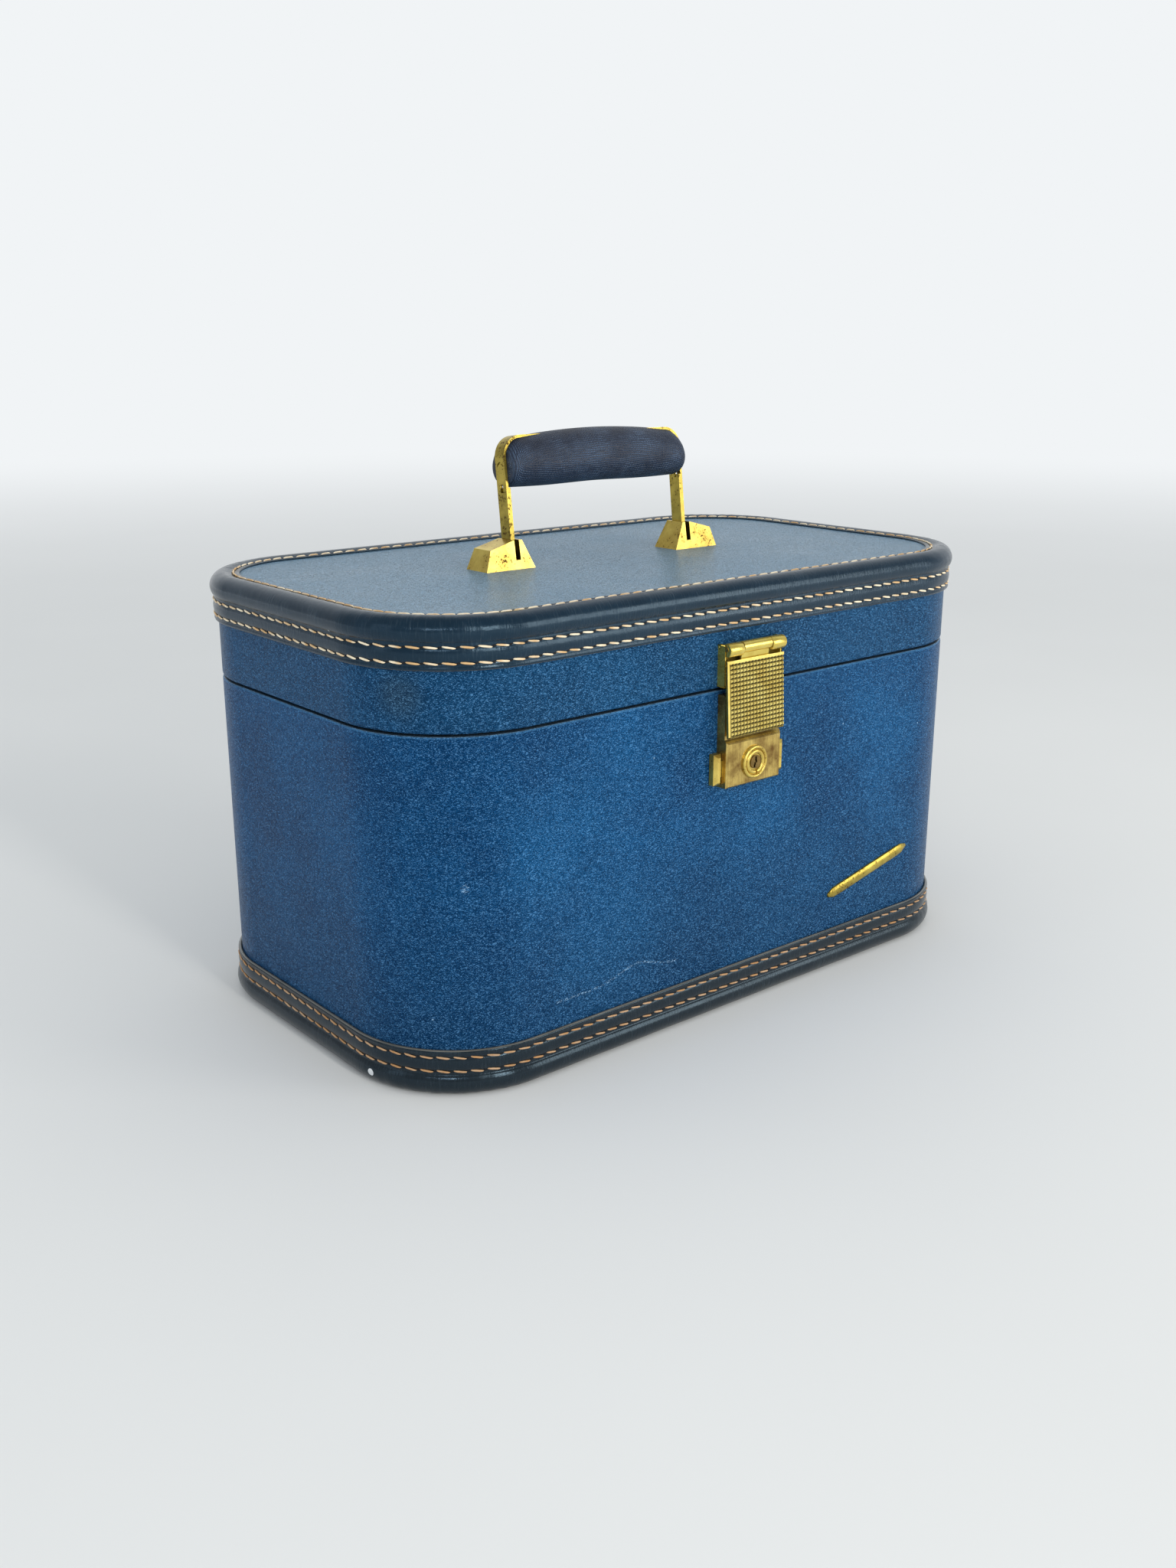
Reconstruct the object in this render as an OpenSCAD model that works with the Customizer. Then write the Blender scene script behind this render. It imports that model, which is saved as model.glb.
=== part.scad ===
// Makeup train case: a small hard-sided vanity case with a hinged lid, a swing
// handle, a hasp lock with two side slides, a lid mirror and a lift-out tray.
// Millimetres. +Z is up and the front faces -Y. The origin is in the middle of
// the ring that the case stands on.

/* [Case] */
// Width across the side walls
case_w = 330; // [300:1:360]
// Depth across the front and back walls
case_d = 187; // [180:1:210]
// Height of the lid's panel above the table
case_h = 189.4; // [185:0.2:200]
// Radius of the four upright corners
corner_r = 50; // [40:1:55]
// Height of the seam between base and lid
seam_z = 146.5; // [143:0.5:150]

/* [Walls] */
// Thickness of the vinyl skin
skin_t = 0.8; // [0.6:0.1:1]
// Thickness of the board under the skin
board_t = 3.2; // [2.8:0.1:4]
// Thickness of the fabric lining
lining_t = 0.8; // [0.6:0.1:1]
// Open gap along the seam
seam_gap = 0.7; // [0.4:0.1:1]
// Rounding of the two rims that meet at the seam
rim_r = 1.3; // [1:0.1:1.5]
// Height of the collar above the seam
collar_rise = 7.5; // [6:0.5:9]

/* [Binding] */
// Height of the stitched band, from the panel to its free edge
band_h = 18.4; // [17:0.2:20]
// Thickness of the stitched band
band_t = 1.6; // [1.2:0.1:2]
// Radius of the rolled welt
roll_r = 5.8; // [5.2:0.1:6]
// How far the welt stands out from the wall
roll_out = 2.8; // [2.4:0.1:3.2]
// Width of the flap that laps onto the panel
flap_w = 10; // [9:0.5:12]

/* [Handle] */
// Half of the distance between the outer faces of the two arms
arm_x = 52.1; // [48:0.1:56]
// How far the handle's axis lies behind the middle of the lid
handle_y = 2.8; // [0:0.1:5]
// How far the handle leans back at rest, in degrees
handle_lean = 6.7; // [0:0.1:10]
// Width of the metal strap
strap_w = 6.6; // [6:0.1:8]
// Height of the strap's top bar above the lid
bail_h = 56.3; // [52:0.1:60]
// Height of the grip's crown above the lid
grip_h = 58.2; // [57:0.1:62]
// Depth of the grip, front to back
grip_d = 20; // [18:0.5:22]
// Height of a handle foot
foot_h = 12.4; // [12:0.1:14]

/* [Lock] */
// Half width of the hasp
hasp_half_w = 16.8; // [16:0.1:18]
// Columns of points on the hasp
knurl_columns = 16; // [8:1:20]
// Rows of points on the hasp
knurl_rows = 16; // [8:1:20]
// Height of the key's axis above the table
key_z = 114; // [112:0.5:116]
// Outward travel of the two release slides
slide_travel = 4; // [2:0.5:4]

/* [Hinges] */
// Distance of each hinge from the middle
hinge_x = 85; // [60:1:92]
// Width of a hinge
hinge_w = 36; // [30:1:40]

/* [Inside] */
// Width of the mirror
mirror_w = 196; // [160:2:210]
// Depth of the mirror
mirror_d = 112; // [90:2:120]
// Height of the tray's walls
tray_h = 25; // [20:1:30]

/* [Hidden] */
$fn = 48;

base_z = 1.35;                       // underside of the base panel
flap_t = 0.8;                        // thickness of the binding's lap
roll_drop = roll_r - 1.5;            // the welt's centre lies this far inside the panel's plane
board_in = skin_t + board_t;         // inset of the board's inner face
lined_in = board_in + lining_t;      // inset of the lining's inner face
turn_in = 12;                        // depth of the skin turned in over a rim
base_rim = seam_z - seam_gap / 2;
lid_rim = seam_z + seam_gap / 2;
front = -case_d / 2;
back = case_d / 2;

collar_t = 1.8;
collar_low = seam_z - 38.5;
collar_in = lined_in + collar_t;     // inset of the collar's inner face
tray_gap = 3;
tray_in = collar_in + tray_gap;
tray_t = 2;
tray_z = seam_z - 4.5 - tray_h;      // underside of the tray
ledge_w = 9;
ledge_h = 8;

barrel_r = 2.5;                      // knuckles of the hasp
hasp_out = 4.6;                      // hasp axis, out from the front wall
hasp_z = seam_z + 17.5;
hasp_top = seam_z + 12.5;
hasp_low = seam_z - 20.1;
hasp_pin_r = 1.1;
knuckle_half = 8.2;                  // half length of the hasp's own knuckle
bracket_half = 17;
fit = 0.05;                          // radial clearance of a running fit

lock_half = 16.2;
lock_top = seam_z - 2.1;
lock_low = key_z - 9.4;
ledge_z = key_z + 10.6;
lock_out = 6.3;
lock_upper_out = 4.5;
plug_r = 3;
collar_ring_r = 7.2;
inner_ring_r = 4.5;

hinge_out = 2.6;                     // hinge axis, out from the back wall
hinge_barrel_r = 2.4;
hinge_pin_r = 1.2;
leaf_t = 1.2;
leaf_h = 18;
knuckles = 5;
knuckle_gap = 0.3;

pivot_h = 7.5;                       // handle axis above the lid
pivot_r = 1.4;
pin_ends = [-4.2, 6];                // ends of a foot's pin, from the middle of its slot
strap_t = 1.2;
strip_t = 1;
arm_mid = arm_x - (strap_t + strip_t) / 2;
bail_top = bail_h - pivot_h;         // top of the bar above the handle's axis
window_z = 24.6;                     // window in an arm, above the handle's axis
slot_w = 2.6;
slot_floor = 3.9;
bend_r = 9.5;                        // outer radius of the strap's bends
grip_half = arm_x - strap_t - 0.1;
grip_low = 34.3;                     // underside of the grip above the lid
grip_arch_r = 361;

// ---------- shared shapes ----------

// The case's outline seen from above, drawn in by inset.
module outline(inset = 0) {
    r = corner_r - inset;
    half = [case_w / 2 - inset, case_d / 2 - inset];
    square([2 * half[0], 2 * (half[1] - r)], center = true);
    square([2 * (half[0] - r), 2 * half[1]], center = true);
    for (sx = [-1, 1], sy = [-1, 1])
        translate([sx * (half[0] - r), sy * (half[1] - r)]) circle(r);
}

// An upright slab of that outline.
module slab(inset, low, high) {
    translate([0, 0, low]) linear_extrude(high - low) outline(inset);
}

// Sweeps a profile round the case. Its x is the distance out from the wall, its y the height.
module ring_sweep() {
    half = [case_w / 2, case_d / 2];
    for (k = [0:3]) {
        out = half[k % 2];
        run = half[(k + 1) % 2] - corner_r;
        rotate([0, 0, 90 * k]) {
            translate([out, run, 0]) rotate([90, 0, 0]) linear_extrude(2 * run) children();
            translate([out - corner_r, run, 0])
                rotate_extrude(angle = 90) translate([corner_r, 0]) children();
        }
    }
}

// Extrudes a side view along X: the profile's x is the distance out from the
// front wall and its y the height.
module side_view(x0, x1) {
    translate([x1, front, 0]) rotate([90, 0, -90]) linear_extrude(x1 - x0) children();
}

// A rod along X.
module rod(r, x0, x1, y, z) {
    translate([x0, y, z]) rotate([0, 90, 0]) cylinder(h = x1 - x0, r = r);
}

// A disc or boss standing out from the front wall.
module boss(r, out0, out1, x, z) {
    translate([x, front - out0, z]) rotate([90, 0, 0]) cylinder(h = out1 - out0, r = r);
}

module rounded_rect(w, d, r) {
    square([w - 2 * r, d], center = true);
    square([w, d - 2 * r], center = true);
    for (sx = [-1, 1], sy = [-1, 1]) translate([sx * (w / 2 - r), sy * (d / 2 - r)]) circle(r);
}

// ---------- walls ----------

// Binding profile over an edge whose panel lies at height 0 and faces up.
module binding_profile() {
    edge_r = band_t / 2;
    difference() {
        union() {
            translate([0, edge_r - band_h]) square([band_t, band_h - roll_drop - edge_r]);
            translate([edge_r, edge_r - band_h]) circle(edge_r);
            translate([roll_out - roll_r, -roll_drop]) circle(roll_r);
            translate([-flap_w, 0]) square([flap_w - roll_r / 2, flap_t]);
        }
        translate([-30, -30]) square([30, 30]);
    }
}

// Skin profile of a wall whose rim is at height 0 and whose wall runs down from it.
module skin_profile(height) {
    difference() {
        union() {
            translate([-skin_t, -height]) square([skin_t, height - rim_r]);
            translate([-lined_in, -turn_in]) square([lined_in, turn_in - rim_r]);
            translate([-lined_in + rim_r, -turn_in]) square([lined_in - 2 * rim_r, turn_in]);
            for (x = [-lined_in + rim_r, -rim_r]) translate([x, -rim_r]) circle(rim_r);
        }
        translate([-board_in, -height]) square([board_t, height - skin_t]);
    }
}

module base_shell() {
    color("burlywood") difference() {
        slab(skin_t, base_z + skin_t, base_rim - skin_t);
        slab(board_in, base_z + skin_t + board_t, seam_z + 1);
    }
}

module base_cover() {
    color("steelblue") {
        translate([0, 0, base_rim]) ring_sweep() skin_profile(base_rim - base_z);
        slab(skin_t / 2, base_z, base_z + skin_t);
    }
}

module base_binding() {
    color("midnightblue") intersection() {
        translate([0, 0, base_z]) mirror([0, 0, 1]) ring_sweep() binding_profile();
        slab(-2 * roll_out, 0, band_h + 5);
    }
}

module base_lining() {
    floor_z = base_z + skin_t + board_t;
    color("lightsteelblue") difference() {
        slab(board_in, floor_z, base_rim - turn_in);
        slab(lined_in, floor_z + lining_t, seam_z);
    }
}

// Inner band that the lid closes over.
module base_collar() {
    step = 0.7;
    color("lightsteelblue") ring_sweep() union() {
        polygon([
            [-lined_in, collar_low], [-lined_in, base_rim - 3],
            [-lined_in - step, base_rim], [-lined_in - step, seam_z + collar_rise],
            [-collar_in, seam_z + collar_rise], [-collar_in, collar_low]
        ]);
    }
}

// Ledge under each end of the tray.
module tray_rest(side) {
    run = case_d - 2 * corner_r;
    x = case_w / 2 - collar_in - ledge_w;
    color("lightsteelblue") mirror([side < 0 ? 1 : 0, 0, 0])
        translate([x, -run / 2, tray_z - ledge_h]) cube([ledge_w, run, ledge_h]);
}
module tray_rest_left() { tray_rest(-1); }
module tray_rest_right() { tray_rest(1); }

module lid_shell() {
    color("burlywood") difference() {
        slab(skin_t, lid_rim + skin_t, case_h - skin_t);
        slab(board_in, seam_z - 1, case_h - skin_t - board_t);
    }
}

module lid_cover() {
    color("steelblue") {
        translate([0, 0, lid_rim]) mirror([0, 0, 1]) ring_sweep() skin_profile(case_h - lid_rim);
        slab(skin_t / 2, case_h - skin_t, case_h);
    }
}

module lid_binding() {
    color("midnightblue") translate([0, 0, case_h]) ring_sweep() binding_profile();
}

module lid_lining() {
    ceiling = case_h - skin_t - board_t;
    color("lightsteelblue") difference() {
        slab(board_in, lid_rim + turn_in, ceiling);
        slab(lined_in, lid_rim, ceiling - lining_t);
    }
}

// ---------- mirror ----------

mirror_z = case_h - skin_t - board_t - lining_t;
mirror_t = 2;
frame_t = 3.2;
frame_lap = 3;

module mirror_glass() {
    color("silver") translate([0, 0, mirror_z - mirror_t]) linear_extrude(mirror_t)
        rounded_rect(mirror_w, mirror_d, 10);
}
module mirror_frame() {
    color("goldenrod") difference() {
        translate([0, 0, mirror_z - frame_t]) linear_extrude(frame_t)
            rounded_rect(mirror_w + 2 * frame_lap, mirror_d + 2 * frame_lap, 10 + frame_lap);
        translate([0, 0, mirror_z - mirror_t]) linear_extrude(mirror_t + 1)
            rounded_rect(mirror_w, mirror_d, 10);
        translate([0, 0, mirror_z - frame_t - 1]) linear_extrude(frame_t)
            rounded_rect(mirror_w - 2 * frame_lap, mirror_d - 2 * frame_lap, 10 - frame_lap);
    }
}

// ---------- hinges at the back ----------

// Start of knuckle k, counted from the left.
function knuckle_x(k) = -hinge_w / 2 + k * hinge_w / knuckles;

// One leaf. turn is 1 for the base's leaf, which hangs down, and -1 for the lid's.
module hinge_leaf(side, turn) {
    first = turn == 1 ? 0 : 1;
    bore = turn == 1 ? hinge_pin_r : hinge_pin_r + fit;
    color("goldenrod") translate([side * hinge_x, back, seam_z]) difference() {
        union() {
            translate([-hinge_w / 2, 0, turn == 1 ? -leaf_h : 3]) cube([hinge_w, leaf_t, leaf_h - 3]);
            for (k = [first:2:knuckles - 1]) {
                x = knuckle_x(k) + knuckle_gap / 2;
                w = hinge_w / knuckles - knuckle_gap;
                rod(hinge_barrel_r, x, x + w, hinge_out, 0);
                translate([x, 0.2, turn == 1 ? -4 : 0]) cube([w, leaf_t - 0.2, 4]);
            }
        }
        rod(bore, -hinge_w, hinge_w, hinge_out, 0);
    }
}
module hinge_base_leaf_left() { hinge_leaf(-1, 1); }
module hinge_base_leaf_right() { hinge_leaf(1, 1); }
module hinge_lid_leaf_left() { hinge_leaf(-1, -1); }
module hinge_lid_leaf_right() { hinge_leaf(1, -1); }

module hinge_pin(side) {
    color("darkgoldenrod")
        translate([side * hinge_x, back + hinge_out, seam_z])
            rod(hinge_pin_r, -hinge_w / 2, hinge_w / 2, 0, 0);
}
module hinge_pin_left() { hinge_pin(-1); }
module hinge_pin_right() { hinge_pin(1); }

// ---------- lock ----------

// A block on the front wall, bevelled on its front edges.
module bevel_block(x0, x1, z0, z1, out0, out1, bevel) {
    intersection() {
        side_view(x0, x1) polygon([
            [out0, z0], [out0, z1], [out1 - bevel, z1], [out1, z1 - bevel],
            [out1, z0 + bevel], [out1 - bevel, z0]
        ]);
        translate([0, front, z0]) linear_extrude(z1 - z0) polygon([
            [x0, -out0], [x1, -out0], [x1, bevel - out1], [x1 - bevel, -out1],
            [x0 + bevel, -out1], [x0, bevel - out1]
        ]);
    }
}

slide_z = [key_z - 8, key_z + 5.5];      // thumb piece
slide_bar_z = [key_z - 4.6, key_z + 2.4];
slide_bar_out = [1.4, 3.2];
slide_x = [8, lock_half + 0.3, 20.7];    // inner end of the bar, thumb piece, outer face
hook_z = hasp_low + 5;
hook_half = 4;

module lock_body() {
    play = 0.2;
    color("darkgoldenrod") difference() {
        side_view(-lock_half, lock_half) polygon([
            [0, lock_low], [0, lock_top], [lock_upper_out - 0.6, lock_top],
            [lock_upper_out, lock_top - 0.6], [lock_upper_out, ledge_z + 0.9],
            [lock_out, ledge_z - 0.9], [lock_out, lock_low + 0.7], [lock_out - 0.7, lock_low]
        ]);
        boss(plug_r + fit, 0.8, lock_out + 1, 0, key_z);
        for (side = [-1, 1]) mirror([side < 0 ? 1 : 0, 0, 0])
            translate([5.5, front - slide_bar_out[1] - play, slide_bar_z[0] - play])
                cube([lock_half, slide_bar_out[1] - slide_bar_out[0] + 2 * play,
                      slide_bar_z[1] - slide_bar_z[0] + 2 * play]);
        side_view(-hook_half - 0.5, hook_half + 0.5) polygon([
            [0.8, hook_z - 1.2], [0.8, lock_top + 1], [lock_out, lock_top + 1], [lock_out, hook_z - 1.2]
        ]);
        for (side = [-1, 1]) translate([side * lock_half, front - lock_out, 0])
            rotate([0, 0, 45]) cube([1.1, 1.1, 2 * ledge_z], center = true);
    }
}

// Raised rings round the key plug, with a notch below it.
module key_collar() {
    color("goldenrod") translate([0, front - lock_out, key_z]) rotate([90, 0, 0]) difference() {
        rotate_extrude() difference() {
            union() {
                square([collar_ring_r, 0.5]);
                translate([collar_ring_r - 0.8, 0.5]) circle(0.8);
                translate([inner_ring_r, 0.4]) circle(1);
            }
            translate([0, -3]) square([20, 3]);
            square([plug_r + fit, 4]);
        }
        translate([0.3, -inner_ring_r, 1.3]) cube([1, 2.4, 1.8], center = true);
    }
}

module key_plug() {
    color("darkgoldenrod") difference() {
        boss(plug_r, 1, lock_out + 1.1, 0, key_z);
        for (cut = [[0, 0.5, 2.4], [0.25, -0.4, 0.8], [-0.45, -1.4, -0.1], [-0.75, -2.4, -1]])
            translate([cut[0] - 0.5, front - lock_out - 2, key_z + cut[1]])
                cube([1, 5, cut[2] - cut[1]]);
    }
}

module slide(side) {
    color("goldenrod") mirror([side < 0 ? 1 : 0, 0, 0]) {
        bevel_block(slide_x[1], slide_x[2], slide_z[0], slide_z[1], 0.3, 4.1, 1.3);
        translate([slide_x[0], front - slide_bar_out[1], slide_bar_z[0]])
            cube([slide_x[1] - slide_x[0] + 1, slide_bar_out[1] - slide_bar_out[0],
                  slide_bar_z[1] - slide_bar_z[0]]);
    }
}
module slide_left() { slide(-1); }
module slide_right() { slide(1); }

// Pressed channel on the lid that carries the hasp's pin.
module lock_bracket() {
    low = lid_rim + 1.3;
    high = hasp_z + 0.6;
    color("darkgoldenrod") difference() {
        union() {
            side_view(-bracket_half, bracket_half) polygon([[0, low], [0, high], [1, high], [1, low]]);
            for (side = [-1, 1])
                side_view(side * (bracket_half - 0.6) - 0.6, side * (bracket_half - 0.6) + 0.6)
                    polygon([[0, low], [0, high], [3.9, high], [3.9, low + 0.8], [3.1, low]]);
            for (side = [-1, 1]) mirror([side < 0 ? 1 : 0, 0, 0]) intersection() {
                bevel_block(knuckle_half - 2, bracket_half - 0.4, hasp_z - 4.6, hasp_z + barrel_r,
                            0.4, hasp_out + barrel_r, 1.5);
                side_view(knuckle_half + 0.15, bracket_half) polygon([
                    [0, low], [0, hasp_z + 5], [10, hasp_z + 5], [10, low]
                ]);
            }
        }
        rod(hasp_pin_r, -bracket_half - 1, bracket_half + 1, front - hasp_out, hasp_z);
    }
}

module hasp_pin() {
    color("darkgoldenrod")
        rod(hasp_pin_r, -bracket_half + 0.2, bracket_half - 0.2, front - hasp_out, hasp_z);
}

// The hasp leans out towards its lower edge.
leaf_out = [4.05, 5.9];              // back of the hasp, at its top and its foot
hasp_leaf_t = 0.7;
hasp_face_t = 0.8;
function leaf_back(z) = leaf_out[0]
    + (leaf_out[1] - leaf_out[0]) * (hasp_top - z) / (hasp_top - hasp_low);

module hasp_leaf() {
    top = hasp_top - 0.3;
    foot = hasp_low + 0.3;
    color("goldenrod") difference() {
        union() {
            rod(barrel_r, -knuckle_half + 0.1, knuckle_half - 0.1, front - hasp_out, hasp_z);
            side_view(-knuckle_half + 0.1, knuckle_half - 0.1) polygon([
                [leaf_back(hasp_top - 1), hasp_top - 1], [leaf_out[0], hasp_z - 1],
                [leaf_out[0] + 1.3, hasp_z - 1], [leaf_out[0] + hasp_leaf_t, hasp_top],
                [leaf_back(hasp_top - 1) + hasp_leaf_t, hasp_top - 1]
            ]);
            side_view(-hasp_half_w + 0.4, hasp_half_w - 0.4) polygon([
                for (corner = [[0, top], [hasp_leaf_t, top], [hasp_leaf_t, foot], [0, foot]])
                    [leaf_back(corner[1]) + corner[0], corner[1]]
            ]);
            side_view(-hook_half, hook_half) polygon([
                [1.4, hook_z - 0.6], [1.4, hook_z + 0.6],
                [leaf_out[1] + 0.2, hook_z + 0.6], [leaf_out[1] + 0.2, hook_z - 0.6]
            ]);
        }
        rod(hasp_pin_r + fit, -20, 20, front - hasp_out, hasp_z);
    }
}

// Face plate with crossed grooves that leave rows of points. The field of points
// has a plain border on the left and at the top, and runs out over the lower bevel.
module hasp_face() {
    lean = atan((leaf_out[1] - leaf_out[0]) / (hasp_top - hasp_low));
    length = (hasp_top - hasp_low) / cos(lean);
    border = 2;
    bevel = 0.8;
    groove = [0.8, 0.6];             // half width and depth
    field = [2 * hasp_half_w - border - 0.5, length - border - bevel];
    pitch = [field[0] / knurl_columns, field[1] / knurl_rows];
    color("gold") translate([0, front - leaf_out[0] - hasp_leaf_t, hasp_top]) rotate([-lean, 0, 0])
        difference() {
            translate([hasp_half_w, 0, 0]) rotate([90, 0, -90]) linear_extrude(2 * hasp_half_w) polygon([
                [0, 0], [hasp_face_t, 0], [hasp_face_t, -length + bevel], [0.1, -length], [0, -length]
            ]);
            for (k = [0:knurl_columns])
                translate([border - hasp_half_w + k * pitch[0], -hasp_face_t, -length - bevel])
                    linear_extrude(field[1] + 2 * bevel + groove[0])
                        polygon([[-groove[0], -0.01], [groove[0], -0.01], [0, groove[1]]]);
            for (k = [0:knurl_rows])
                translate([-hasp_half_w + border - groove[0], -hasp_face_t, -border - k * pitch[1]])
                    rotate([90, 0, 90]) linear_extrude(field[0] + 2 * groove[0])
                        polygon([[-0.01, -groove[0]], [-0.01, groove[0]], [groove[1], 0]]);
        }
}

// ---------- handle ----------

// A foot, drawn round the slot that takes an arm. The slot is open to the front,
// the back and the top.
module foot(side) {
    color("gold") mirror([side < 0 ? 1 : 0, 0, 0])
        translate([arm_mid, handle_y, case_h]) difference() {
            intersection() {
                translate([0, 10, 0]) rotate([90, 0, 0]) linear_extrude(20) polygon([
                    [-8.8, 0], [-2.9, foot_h], [1.6, foot_h], [14.4, foot_h - 3.4], [17.6, 0]
                ]);
                translate([-20, 0, 0]) rotate([90, 0, 90]) linear_extrude(50) polygon([
                    [-7.5, 0], [-5.4, foot_h], [5.4, foot_h], [7.5, 0]
                ]);
            }
            translate([-slot_w / 2, -10, slot_floor]) cube([slot_w, 20, foot_h]);
            rod(pivot_r, pin_ends[0], pin_ends[1], 0, pivot_h);
        }
}
module foot_left() { foot(-1); }
module foot_right() { foot(1); }

module foot_pin(side) {
    color("darkgoldenrod") mirror([side < 0 ? 1 : 0, 0, 0])
        rod(pivot_r, arm_mid + pin_ends[0], arm_mid + pin_ends[1], handle_y, case_h + pivot_h);
}
module foot_pin_left() { foot_pin(-1); }
module foot_pin_right() { foot_pin(1); }

// Places what swings with the handle, drawn upright round its axis.
module on_pivots() {
    translate([0, handle_y, case_h + pivot_h]) rotate([-handle_lean, 0, 0]) children();
}

// Side view of an arm, from the pivot up to a given height above it.
module arm_outline(height) {
    circle(strap_w / 2);
    translate([-strap_w / 2, 0]) square([strap_w, height]);
}

// Quarter of a flat ring, from an arm round to the bar.
module strap_bend() {
    rotate_extrude(angle = 90) translate([bend_r - strap_t, 0]) square([strap_t, strap_w]);
}

// The strap of the handle: two arms, two bends and a bar, in one piece. Each arm
// has a small window below the grip and a half-moon pressed into it.
module bail() {
    arm_top = bail_top - bend_r;
    color("gold") on_pivots() difference() {
        union() {
            for (side = [0, 1]) mirror([side, 0, 0]) {
                translate([arm_x - strap_t, 0, 0]) rotate([90, 0, 90])
                    linear_extrude(strap_t) arm_outline(arm_top);
                translate([arm_x - bend_r, strap_w / 2, arm_top]) rotate([90, 0, 0]) strap_bend();
            }
            translate([bend_r - arm_x, -strap_w / 2, bail_top - strap_t])
                cube([2 * (arm_x - bend_r), strap_w, strap_t]);
        }
        rod(pivot_r + fit, -arm_x - 1, arm_x + 1, 0, 0);
        translate([-arm_x - 1, -1, window_z]) cube([2 * arm_x + 2, 2, 3.6]);
        for (side = [0, 1]) mirror([side, 0, 0])
            translate([arm_x - 0.5, 0, window_z + 11]) rotate([90, 0, 90]) linear_extrude(1) difference() {
                circle(2.2);
                translate([0, -1.1]) circle(2.3);
            }
    }
}

// Second layer inside each arm, up to the grip, with a raised pip near its top.
module arm_strip(side) {
    color("goldenrod") on_pivots() mirror([side < 0 ? 1 : 0, 0, 0])
        translate([arm_x - strap_t - strip_t, 0, 0]) difference() {
            union() {
                rotate([90, 0, 90]) linear_extrude(strip_t) arm_outline(grip_low - pivot_h);
                rod(1.1, -0.5, 0.2, 0, window_z + 1.8);
            }
            rod(pivot_r + fit, -5, 5, 0, 0);
        }
}
module arm_strip_left() { arm_strip(-1); }
module arm_strip_right() { arm_strip(1); }

// Padded grip round the bar, drawn from slices. Each is a rounded section at a
// distance x from the middle.
function arch(x) = grip_h - x * x / (2 * grip_arch_r);
function corner_drop(x, r) = let (t = max(0, r - (grip_half - x))) r - sqrt(max(0, r * r - t * t));
module grip_slice(x) {
    top = arch(x) - corner_drop(x, 9);
    low = grip_low + corner_drop(x, 4);
    half_d = grip_d / 2 - 0.85 * corner_drop(x, 5) - 0.5 * (x / grip_half) ^ 2;
    r = min(half_d, (top - low) / 2);
    for (side = [-1, 1]) translate([side * x - 0.05, 0, 0]) rotate([90, 0, 90])
        linear_extrude(0.1) hull() for (z = [top - r, low + r]) translate([0, z])
            scale([half_d / r, 1]) circle(r);
}

// What the strap takes out of the grip, seen from the front: everything outside
// the arms and bends, and the bar alone where the grip arches over it.
module strap_channel() {
    cover_x = 36;
    inner = [2 * (arm_x - strap_t), 2 * (bail_top - strap_t)];
    difference() {
        translate([-60, 0]) square([120, 70]);
        rounded_rect(inner[0], inner[1], bend_r - strap_t);
        translate([-cover_x, bail_top]) square([2 * cover_x, 20]);
    }
}

module grip() {
    color("midnightblue") on_pivots() difference() {
        translate([0, 0, -pivot_h])
            hull() for (x = [0, 20, 36, 42, 45.9, 48.2, 49.8, grip_half - 0.05]) grip_slice(x);
        translate([0, strap_w / 2, 0]) rotate([90, 0, 0]) linear_extrude(strap_w) strap_channel();
    }
}

// ---------- tray ----------

tray_floor = tray_z + tray_t;
tray_top = tray_z + tray_h;
divider_x = 62;
divider_y = 8;
divider_t = 1.8;

module tray() {
    wall = tray_in + tray_t;
    color("aliceblue") {
        difference() {
            slab(tray_in, tray_z, tray_top);
            slab(wall, tray_floor, tray_top + 1);
        }
        intersection() {
            slab(wall - 0.5, tray_floor - 0.5, tray_top - 6);
            union() {
                for (x = [-divider_x, divider_x])
                    translate([x, 0, tray_z + tray_h / 2]) cube([divider_t, case_d, tray_h], center = true);
                translate([0, divider_y, tray_z + tray_h / 2])
                    cube([2 * divider_x, divider_t, tray_h], center = true);
            }
        }
    }
}

// Pull tab at each end of the tray.
module tray_tab(side) {
    color("goldenrod") mirror([side < 0 ? 1 : 0, 0, 0])
        translate([case_w / 2 - tray_in - tray_t, 0, tray_top]) rotate([90, 0, -90])
            linear_extrude(1) rounded_rect(24, 12, 3);
}
module tray_tab_left() { tray_tab(-1); }
module tray_tab_right() { tray_tab(1); }

// ---------- what is drawn ----------

base_shell();
base_cover();
base_binding();
base_lining();
base_collar();
tray_rest_left();
tray_rest_right();
lock_body();
key_collar();
key_plug();
slide_left();
slide_right();
hinge_base_leaf_left();
hinge_base_leaf_right();
hinge_pin_left();
hinge_pin_right();
hinge_lid_leaf_left();
hinge_lid_leaf_right();
lid_shell();
lid_cover();
lid_binding();
lid_lining();
mirror_glass();  // mirror
mirror_frame();
lock_bracket();
hasp_pin();
hasp_leaf();
hasp_face();
foot_left();
foot_right();
foot_pin_left();
foot_pin_right();
bail();
arm_strip_left();
arm_strip_right();
grip();
tray();
tray_tab_left();
tray_tab_right();
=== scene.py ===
import math
import random

import bmesh
import bpy
from mathutils import Matrix, Vector, noise


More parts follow.
